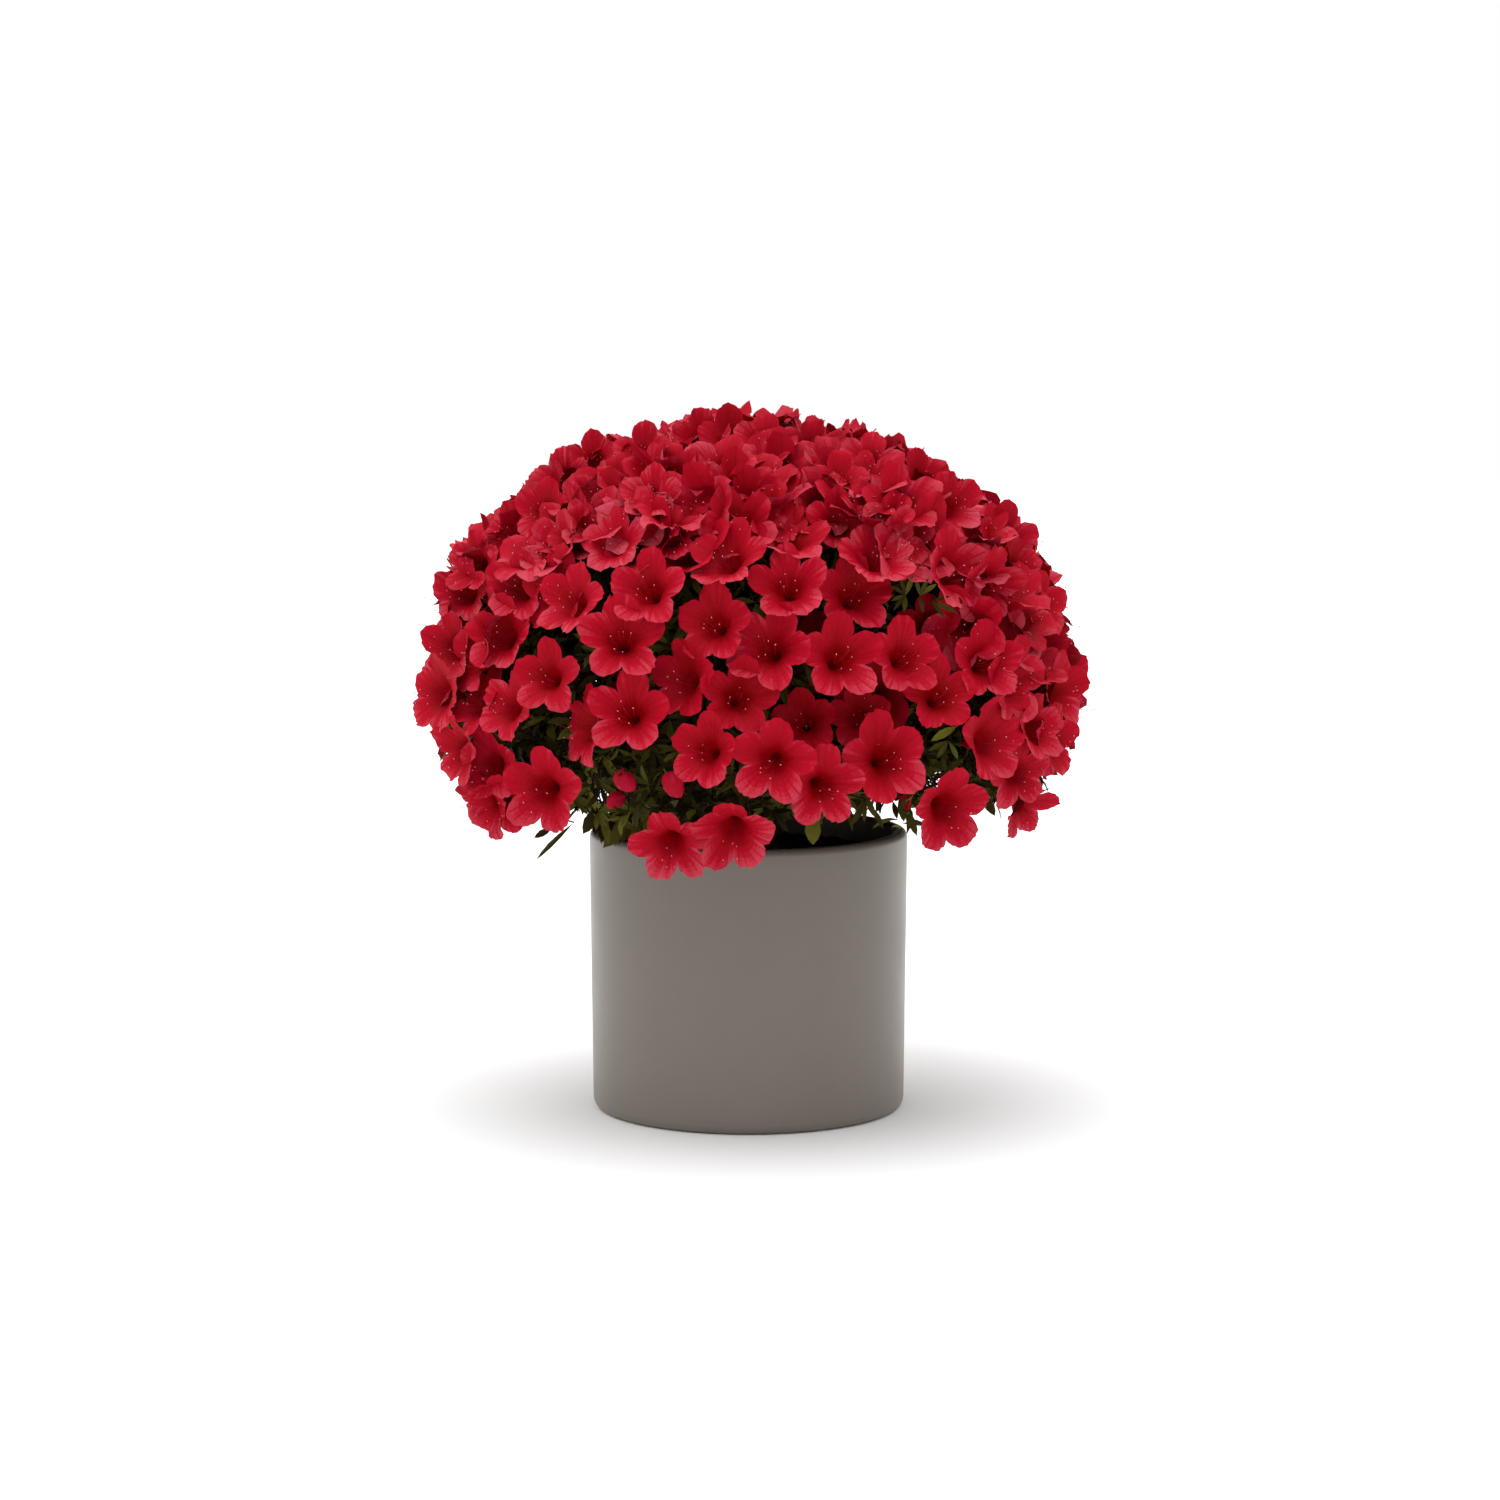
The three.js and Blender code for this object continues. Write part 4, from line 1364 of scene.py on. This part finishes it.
def turned_profile(points, sides):
    """Vertices and faces of a profile of (radius, level) points turned about Z. The first
    and last points are on the axis."""
    vertices = [(0, 0, points[0][1])]
    for radius, level in points[1:-1]:
        for k in range(sides):
            angle = FULL_TURN * k / sides
            vertices.append((radius * math.cos(angle), radius * math.sin(angle), level))
    vertices.append((0, 0, points[-1][1]))
    last = len(vertices) - 1
    top = last - sides
    faces = []
    for k in range(sides):
        following = (k + 1) % sides
        faces.append((0, 1 + following, 1 + k))
        for low in range(1, top, sides):
            high = low + sides
            faces.append((low + k, low + following, high + following, high + k))
        faces.append((top + k, top + following, last))
    return vertices, faces


def quarter(centre_radius, centre_level, size, start, end, steps=6):
    """Points of a quarter round between two angles in degrees."""
    points = []
    for i in range(steps + 1):
        angle = math.radians(start + (end - start) * i / steps)
        points.append((centre_radius + size * math.cos(angle), centre_level + size * math.sin(angle)))
    return points


def straight(first, last, count):
    """Points between two profile points, without the two."""
    return [blended(first, last, i / count) for i in range(1, count)]


class AZALEA_OT_stage(bpy.types.Operator):
    """Makes the floor, the light and the camera"""

    bl_idname = "azalea.stage"
    bl_label = "Stage"

    def execute(self, context):
        scene = context.scene
        stage = scene.azalea_stage
        scene.view_settings.view_transform = "Standard"
        colour = tuple(stage.floor_colour)
        paper = new_material("studio_paper", colour, Roughness=1.0, Specular_IOR_Level=0.0)[0]
        corners = [(x * FLOOR_HALF, y * FLOOR_HALF, 0) for x, y in ((-1, -1), (1, -1), (1, 1), (-1, 1))]
        mesh_object("studio_floor", corners, [(0, 1, 2, 3)], [paper], smooth=False)
        world = bpy.data.worlds.new("studio_light")
        world.use_nodes = True
        tree = world.node_tree
        background = next(n for n in tree.nodes if n.type == "BACKGROUND")
        background.inputs["Color"].default_value = (*WHITE, 1)
        way = add_node(tree, "ShaderNodeTexCoord").outputs["Generated"]
        parts = add_node(tree, "ShaderNodeSeparateXYZ", {0: way}).outputs
        ramp = add_node(tree, "ShaderNodeValToRGB", {0: parts["Z"]})
        stops = ramp.color_ramp.elements
        stops.remove(stops[1])
        brightest = SOFT_LIGHT[-1][1]
        for place, strength in SOFT_LIGHT:
            stop = stops[0] if place == 0 else stops.new(place)
            stop.color = (*[strength / brightest] * 3, 1)
        maths = "ShaderNodeMath"
        sockets = {0: ramp.outputs["Color"], 1: brightest * stage.sky_light}
        full = add_node(tree, maths, sockets, operation="MULTIPLY").outputs[0]
        sockets = {0: parts["X"], 1: -stage.left_light, 2: 1.0}
        sides = add_node(tree, maths, sockets, operation="MULTIPLY_ADD").outputs[0]
        sockets = {0: parts["Y"], 1: stage.back_light, 2: sides}
        depths = add_node(tree, maths, sockets, operation="MULTIPLY_ADD").outputs[0]
        soft = add_node(tree, maths, {0: full, 1: depths}, operation="MULTIPLY").outputs[0]
        seen = add_node(tree, "ShaderNodeLightPath").outputs["Is Camera Ray"]
        strength = add_node(tree, "ShaderNodeMix", {0: seen, 2: soft, 3: 1.0}, data_type="FLOAT")
        tree.links.new(strength.outputs[0], background.inputs["Strength"])
        scene.world = world
        lamp = bpy.data.lights.new("key_light", "SUN")
        lamp.energy = stage.key_light
        lamp.angle = math.radians(40)
        key = bpy.data.objects.new("key_light", lamp)
        key.rotation_euler = (math.radians(14), math.radians(-6), 0)
        lens = bpy.data.cameras.new("camera")
        lens.lens = stage.lens
        lens.sensor_width = SENSOR_WIDTH
        lens.clip_end = 100
        camera = bpy.data.objects.new("camera", lens)
        camera.location = stage.camera_place
        camera.rotation_euler = (stage.camera_turn, 0, 0)
        for thing in (key, camera):
            scene.collection.objects.link(thing)
        scene.camera = camera
        return {"FINISHED"}


def ceramic_material():
    """Stoneware with a matte glaze: fired clay under a thin dull coat. It is an even warm
    grey with a soft wide shine, very fine mottling and a slight orange-peel surface. Its
    clouds are about 30 mm across, and its specks about 1 mm."""
    colour = tuple(bpy.context.scene.azalea_pot.ceramic)
    material, tree, shader = new_material("matte_stoneware", colour, Roughness=0.36, IOR=1.5)
    place = add_node(tree, "ShaderNodeTexCoord").outputs["Object"]
    patterns = []
    for scale, detail in ((33, 3), (1000, 2)):
        sockets = {"Vector": place, "Scale": scale, "Detail": detail}
        patterns.append(add_node(tree, "ShaderNodeTexNoise", sockets).outputs["Fac"])
    clouds, specks = patterns
    both = add_node(tree, "ShaderNodeMath", {0: clouds, 1: specks}, operation="ADD").outputs[0]
    shade = add_node(tree, "ShaderNodeMapRange", {0: both, 1: 0.6, 2: 1.4, 3: 0.0, 4: 1.0}).outputs[0]
    gloss = add_node(tree, "ShaderNodeMapRange", {0: clouds, 1: 0.3, 2: 0.7, 3: 0.32, 4: 0.4})
    tree.links.new(gloss.outputs[0], shader.inputs["Roughness"])
    ends = (blended(colour, BLACK, 0.05), blended(colour, WHITE, 0.012))
    tone_and_relief(tree, shader, shade, ends, specks, 0.12, 0.2 * MM)
    return material


class AZALEA_OT_pot(bpy.types.Operator):
    """Makes the pot"""

    bl_idname = "azalea.pot"
    bl_label = "Pot"

    def execute(self, context):
        pot = context.scene.azalea_pot
        rim, _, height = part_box("pot")[1]
        foot = rim - pot.foot_taper
        floor_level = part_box("compost")[0].z
        rim_middle = height - pot.rim_round
        outside_low = quarter(foot - pot.foot_round, pot.foot_round, pot.foot_round, -90, 0)
        outside_high = quarter(rim - pot.rim_round, rim_middle, pot.rim_round, 0, 90)
        inside_high = quarter(rim - pot.wall + pot.rim_round, rim_middle, pot.rim_round, 90, 180)
        inside_low = (foot - pot.wall, floor_level)
        profile = [
            (0, 0),
            *straight((0, 0), outside_low[0], 5),
            *outside_low,
            *straight(outside_low[-1], outside_high[0], 24),
            *outside_high,
            *straight(outside_high[-1], inside_high[0], 3),
            *inside_high,
            *straight(inside_high[-1], inside_low, 8),
            inside_low,
            (0, floor_level),
        ]
        piece = mesh_object("flower_pot", *turned_profile(profile, 128), [ceramic_material()])
        place_piece(piece, ["pot"])
        return {"FINISHED"}


def compost_material():
    """Peaty compost: crumbs of dark fibre, damp and dull, about 3 mm across, with paler bits
    of bark."""
    colour = tuple(bpy.context.scene.azalea_pot.compost)
    material, tree, shader = new_material("peaty_compost", colour, Roughness=0.95)
    place = add_node(tree, "ShaderNodeTexCoord").outputs["Object"]
    pattern = {"Vector": place, "Scale": 330, "Detail": 4, "Roughness": 0.7}
    crumbs = add_node(tree, "ShaderNodeTexNoise", pattern).outputs["Fac"]
    ends = (blended(colour, BLACK, 0.7), blended(colour, (1, 0.8, 0.6), 0.05))
    tone_and_relief(tree, shader, crumbs, ends, crumbs, 0.8, 1 * MM)
    return material


def crumb_tree():
    """Crumbs scattered on the upper side of the compost."""
    inputs = {"Geometry": "Geometry", "Crumbs per square metre": "Float"}
    inputs.update({"Smallest": "Float", "Largest": "Float", "Material": "Material"})
    tree, given, result = new_tree("compost_crumbs", inputs)
    facing = add_node(tree, "GeometryNodeInputNormal").outputs[0]
    rise = add_node(tree, "ShaderNodeSeparateXYZ", {0: facing}).outputs["Z"]
    upper = add_node(tree, "FunctionNodeCompare", {0: rise, 1: 0.6}, operation="GREATER_THAN")
    sockets = {
        "Mesh": given["Geometry"],
        "Selection": upper.outputs[0],
        "Density": given["Crumbs per square metre"],
        "Seed": 3,
    }
    spots = add_node(tree, "GeometryNodeDistributePointsOnFaces", sockets)
    crumb = add_node(tree, "GeometryNodeMeshIcoSphere", {"Radius": 1.0, "Subdivisions": 1})
    draw = "FunctionNodeRandomValue"
    ends = {0: (0, 0, 0), 1: (6.28, 6.28, 6.28), "Seed": 5}
    turn = add_node(tree, draw, ends, data_type="FLOAT_VECTOR")
    ends = {2: given["Smallest"], 3: given["Largest"], "Seed": 8}
    size = add_node(tree, draw, ends, data_type="FLOAT")
    ends = {0: (0.5, 0.5, 0.4), 1: (1.3, 1.0, 0.9), "Seed": 11}
    stretch = add_node(tree, draw, ends, data_type="FLOAT_VECTOR")
    sockets = {0: stretch.outputs[0], "Scale": size.outputs[1]}
    scale = add_node(tree, "ShaderNodeVectorMath", sockets, operation="SCALE")
    sockets = {
        "Points": spots.outputs["Points"],
        "Instance": crumb.outputs["Mesh"],
        "Rotation": turn.outputs[0],
        "Scale": scale.outputs[0],
    }
    placed = add_node(tree, "GeometryNodeInstanceOnPoints", sockets)
    solid = add_node(tree, "GeometryNodeRealizeInstances", {"Geometry": placed.outputs[0]})
    sockets = {"Geometry": solid.outputs[0], "Material": given["Material"]}
    last = add_node(tree, "GeometryNodeSetMaterial", sockets)
    tree.links.new(last.outputs[0], result)
    return tree


class AZALEA_OT_compost(bpy.types.Operator):
    """Makes the compost and the crumbs on it"""

    bl_idname = "azalea.compost"
    bl_label = "Compost"

    def execute(self, context):
        low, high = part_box("compost")
        edge = high.x
        steps = 16
        profile = [(0, low.z), (edge - 1.5 * MM, low.z)]
        for i in range(steps):
            out = 1 - i / steps
            profile.append((edge * out, high.z - 2 * MM * out**2))
        profile.append((0, high.z))
        vertices, faces = turned_profile(profile, 72)
        for i, (x, y, z) in enumerate(vertices):
            if z > high.z - 3 * MM:
                bump = math.sin(310 * x + 1) * math.sin(270 * y) + math.sin(130 * x - 170 * y)
                vertices[i] = (x, y, z + 0.6 * MM * bump)
        material = compost_material()
        piece = mesh_object("compost_surface", vertices, faces, [material])
        place_piece(piece, ["compost"])
        crumbs = mesh_object("compost_crumbs", vertices, faces, [material], smooth=False)
        inputs = {
            "Crumbs per square metre": float(context.scene.azalea_pot.crumbs),
            "Smallest": 0.5 * MM,
            "Largest": 1.8 * MM,
            "Material": material,
        }
        run_nodes(crumbs, crumb_tree(), inputs)
        place_piece(crumbs)
        return {"FINISHED"}


def relief_limb(rings, sides, rows, depth, chance, roots=0.0):
    """Vertices and faces of a limb with the bark's ridges, along rings of a solid."""
    middles = np.array([m for m, _ in rings])
    radii = np.array([r for _, r in rings])
    lengths = np.concatenate(((0,), np.cumsum(np.linalg.norm(np.diff(middles, axis=0), axis=1))))
    along = np.linspace(0, lengths[-1], rows)
    line = np.stack([np.interp(along, lengths, middles[:, k]) for k in range(3)], 1)
    for _ in range(2):
        line[1:-1] = (line[:-2] + 2 * line[1:-1] + line[2:]) / 4
    radius = np.interp(along, lengths, radii)
    tangents = np.gradient(line, axis=0)
    tangents /= np.linalg.norm(tangents, axis=1)[:, None]
    side = unit(np.cross(tangents[0], (0.3, 0.9, 0.1)))
    angles = np.arange(sides) * FULL_TURN / sides
    phases = chance.uniform(0, FULL_TURN, 6)
    vertices = []
    faces = []
    for i in range(rows):
        side = unit(side - tangents[i] * np.dot(side, tangents[i]))
        s = along[i] / MM
        ridge = np.sin(5 * angles + phases[0] + 0.05 * s)
        ridge += 0.7 * np.sin(9 * angles + phases[1] - 0.09 * s + np.sin(0.3 * s))
        ridge += 0.5 * np.sin(13 * angles + phases[2] + 0.6 * np.sin(0.21 * s + phases[3]))
        ridge += 0.5 * np.sin(0.35 * s + phases[4]) * np.cos(angles + phases[5])
        low = max(0.0, 1 - s / 9)
        buttress = roots * low**1.5 * (0.5 + 0.5 * np.cos(5 * angles + phases[1]))
        reach = radius[i] * (1 + depth * ridge) + buttress
        vertices.extend(ring_points(line[i], side, np.cross(tangents[i], side), angles, reach))
        if i:
            faces.extend(band((i - 1) * sides, sides))
    start = len(vertices)
    top = start - sides
    vertices.extend((line[0], line[-1]))
    for k in range(sides):
        following = (k + 1) % sides
        faces.append((start, following, k))
        faces.append((start + 1, top + k, top + following))
    return vertices, faces


class AZALEA_OT_limbs(bpy.types.Operator):
    """Makes the stem and the boughs, with the relief of their bark"""

    bl_idname = "azalea.limbs"
    bl_label = "Stem and boughs"

    def execute(self, context):
        chance = np.random.default_rng(context.scene.azalea_bush.seed + 1)
        material = bark_material("azalea_bark", 1.0)
        rings = limb_rings("stem", from_below=True)
        fork_level = rings[-1][0] - UP * 12 * MM
        stem = relief_limb(rings, 36, 40, 0.03, chance, roots=4 * MM)
        place_piece(mesh_object("bark_stem", *stem, [material]), ["stem"])
        for name in BOUGHS:
            rings = limb_rings(name)
            foot = rings[-1][0]
            clean = [r for r in rings if (r[0] - foot).length > 6 * MM]
            clean.append((foot, clean[-1][1] * 1.1))
            clean.append((fork_level, clean[-1][1] * 1.1))
            limb = relief_limb(clean[::-1], 14, 36, 0.04, chance)
            place_piece(mesh_object("bark_" + name, *limb, [material]), [name])
        return {"FINISHED"}


class AZALEA_OT_twigs(bpy.types.Operator):
    """Makes the twigs that grow on from the boughs"""

    bl_idname = "azalea.twigs"
    bl_label = "Twigs"

    def execute(self, context):
        tree = twig_tree()
        # The twigs' bark is darker, partly as painted shade of the crown over them.
        bark = bark_material("azalea_twig_bark", 0.4)
        green = new_material("green_shoot", linear("434A20"), Roughness=0.7, Specular_IOR_Level=0.1)[0]
        for ring in RINGS:
            twigs = [t for t in grown_bush().twigs if ring_of(t.bough) == ring]
            edges = []
            first = 0
            for twig in twigs:
                count = len(twig.points)
                edges.extend((first + i, first + i + 1) for i in range(count - 1))
                first += count
            vertices = np.concatenate([t.points for t in twigs])
            radii = np.concatenate([t.radii for t in twigs])
            young = np.concatenate([[t.young] * len(t.points) for t in twigs])
            piece = mesh_object("twigs_" + ring, vertices, edges=edges)
            give_attribute(piece.data, "radius_here", "FLOAT", radii)
            give_attribute(piece.data, "young", "BOOLEAN", young)
            run_nodes(piece, tree, {"Sides": 4, "Bark": bark, "Green shoot": green})
            place_piece(piece)
        return {"FINISHED"}


class AZALEA_OT_leaves(bpy.types.Operator):
    """Makes the leaves, in sprays round every shoot"""

    bl_idname = "azalea.leaves"
    bl_label = "Leaves"

    def execute(self, context):
        tree = leaf_tree()
        inputs = {f"Shade {i + 1}": m for i, m in enumerate(leaf_materials())}
        templates = {name: leaf_template(name, *shape) for name, shape in LEAF_SHAPES.items()}
        inputs.update(templates)
        for ring in RINGS:
            leaves = [leaf for leaf in grown_bush().leaves if ring_of(leaf.bough) == ring]
            piece = mesh_object("leaves_" + ring, [leaf.base for leaf in leaves])
            for name, kind in LEAF_VALUES.items():
                give_attribute(piece.data, name, kind, [getattr(leaf, name) for leaf in leaves])
            run_nodes(piece, tree, inputs)
            piece.data.polygons.foreach_set("use_smooth", [True] * len(piece.data.polygons))
            place_piece(piece, [n for n in MASSES if ring_of(n) == ring])
        for template in templates.values():
            bpy.data.objects.remove(template)
        return {"FINISHED"}


class AZALEA_OT_blossom(bpy.types.Operator):
    """Makes the petals of every bloom"""

    bl_idname = "azalea.blossom"
    bl_label = "Blossom"

    def execute(self, context):
        materials = petal_materials()
        sheets = {name: (weave, *bloom_faces(weave)) for name, weave in WEAVES.items()}
        for bough in BOUGHS:
            vertices = []
            faces = []
            kinds = []
            first = 0
            for bloom in grown_bush().blooms:
                if bloom.bough != bough:
                    continue
                weave, own_faces, shades, lobes = sheets[bloom.weave]
                chance = np.random.default_rng(bloom.seed + 1)
                vertices.append(in_place(bloom_points(bloom, weave), bloom))
                faces.append(own_faces + first)
                first += len(vertices[-1])
                columns = LOBES * (len(weave.across) - 1)
                streaks = np.tile(chance.normal(0, 0.85, columns), len(shades) // columns)
                shade = shades + bloom.tint + chance.normal(0, 0.7, LOBES)[lobes] + streaks
                shade = np.clip(np.round(shade), 0, PETAL_SHADES - 1)
                # The faces deep in the tube take the tube's painted glow.
                kinds.append(np.where(np.isinf(shades), PETAL_SHADES, shade))
            name = bough.replace("bough", "blossom").replace("leader", "top_blossom")
            faces = np.concatenate(faces).tolist()
            kinds = np.concatenate(kinds).astype(int).tolist()
            piece = mesh_object(name, np.concatenate(vertices), faces, materials, kinds)
            place_piece(piece)
        return {"FINISHED"}


class AZALEA_OT_stamens(bpy.types.Operator):
    """Makes the stamens and the style of every bloom"""

    bl_idname = "azalea.stamens"
    bl_label = "Stamens"

    def execute(self, context):
        materials = [
            new_material(name, linear(code), Roughness=roughness, Specular_IOR_Level=level)[0]
            for name, code, roughness, level in (
                ("stamen_thread", "9C1026", 0.6, 0.1),
                ("anther", "D08C86", 0.8, 0.1),
                ("stigma", "8A1028", 0.5, 0.2),
            )
        ]
        for ring in RINGS:
            vertices = []
            faces = []
            kinds = []
            first = 0
            for bloom in grown_bush().blooms:
                if ring_of(bloom.bough) != ring:
                    continue
                chance = np.random.default_rng(bloom.seed + 2)
                points, own_faces, own_kinds = stamen_mesh(bloom, chance)
                vertices.append(in_place(points, bloom))
                faces.extend(tuple(first + i for i in face) for face in own_faces)
                kinds.extend(own_kinds)
                first += len(points)
            piece = mesh_object("stamens_" + ring, np.concatenate(vertices), faces, materials, kinds)
            place_piece(piece)
        return {"FINISHED"}


class AZALEA_OT_buds(bpy.types.Operator):
    """Makes the pointed buds, each furled round itself"""

    bl_idname = "azalea.buds"
    bl_label = "Buds"

    def execute(self, context):
        gloss = {"Roughness": 0.5, "Specular_IOR_Level": 0.08}
        petal = new_material("azalea_bud", linear("980422"), **gloss)[0]
        sepal = new_material("bud_sepal", linear("4C5A26"), Roughness=0.6)[0]
        around = np.arange(BUD_SIDES) * FULL_TURN / BUD_SIDES
        folds = 1 + 0.22 * np.abs(np.sin(BUD_FOLDS * around))
        vertices = []
        faces = []
        kinds = []
        for bud in grown_bush().buds:
            first = len(vertices)
            lean = top_of(bud.axis, 0.4)
            across = np.cross(bud.axis, lean)
            for i, (along, share) in enumerate(BUD_OUTLINE):
                middle = bud.middle + bud.axis * (along - 0.5) * bud.length
                reach = bud.length * 0.6 * share * folds
                vertices.extend(ring_points(middle, lean, across, around + BUD_TWIST * along, reach))
                if i:
                    faces.extend(band(first + (i - 1) * BUD_SIDES, BUD_SIDES))
                    kinds.extend([int(i == 1)] * BUD_SIDES)
            tip = len(vertices)
            half = bud.axis * 0.5 * bud.length
            vertices.extend((bud.middle + half, bud.middle - half))
            for k in range(BUD_SIDES):
                following = (k + 1) % BUD_SIDES
                faces.append((tip - BUD_SIDES + k, tip - BUD_SIDES + following, tip))
                faces.append((first + following, first + k, tip + 1))
                kinds.extend((0, 1))
        place_piece(mesh_object("buds", vertices, faces, [petal, sepal], kinds))
        return {"FINISHED"}


OPERATORS = (
    AZALEA_OT_stage,
    AZALEA_OT_pot,
    AZALEA_OT_compost,
    AZALEA_OT_limbs,
    AZALEA_OT_twigs,
    AZALEA_OT_leaves,
    AZALEA_OT_blossom,
    AZALEA_OT_stamens,
    AZALEA_OT_buds,
)


class AZALEA_PT_panel(bpy.types.Panel):
    """Lists the settings and a button for each piece"""

    bl_label = "Potted azalea"
    bl_idname = "AZALEA_PT_panel"
    bl_space_type = "VIEW_3D"
    bl_region_type = "UI"
    bl_category = "Azalea"

    def draw(self, context):
        for setting_name in SETTINGS:
            group = getattr(context.scene, setting_name)
            box = self.layout.box()
            for name in group.__annotations__:
                box.prop(group, name)
        for operator in OPERATORS:
            self.layout.operator(operator.bl_idname)


SETTINGS = {
    "azalea_stage": AzaleaStageSettings,
    "azalea_pot": AzaleaPotSettings,
    "azalea_bush": AzaleaBushSettings,
}


def register():
    for each in (*SETTINGS.values(), *OPERATORS, AZALEA_PT_panel):
        bpy.utils.register_class(each)
    for name, group in SETTINGS.items():
        setattr(bpy.types.Scene, name, PointerProperty(type=group))


def unregister():
    for name in SETTINGS:
        delattr(bpy.types.Scene, name)
    for each in (AZALEA_PT_panel, *reversed(OPERATORS), *reversed(SETTINGS.values())):
        bpy.utils.unregister_class(each)


def main():
    register()
    for operator in OPERATORS:
        group, name = operator.bl_idname.split(".")
        getattr(getattr(bpy.ops, group), name)()


if __name__ == "__main__":
    main()
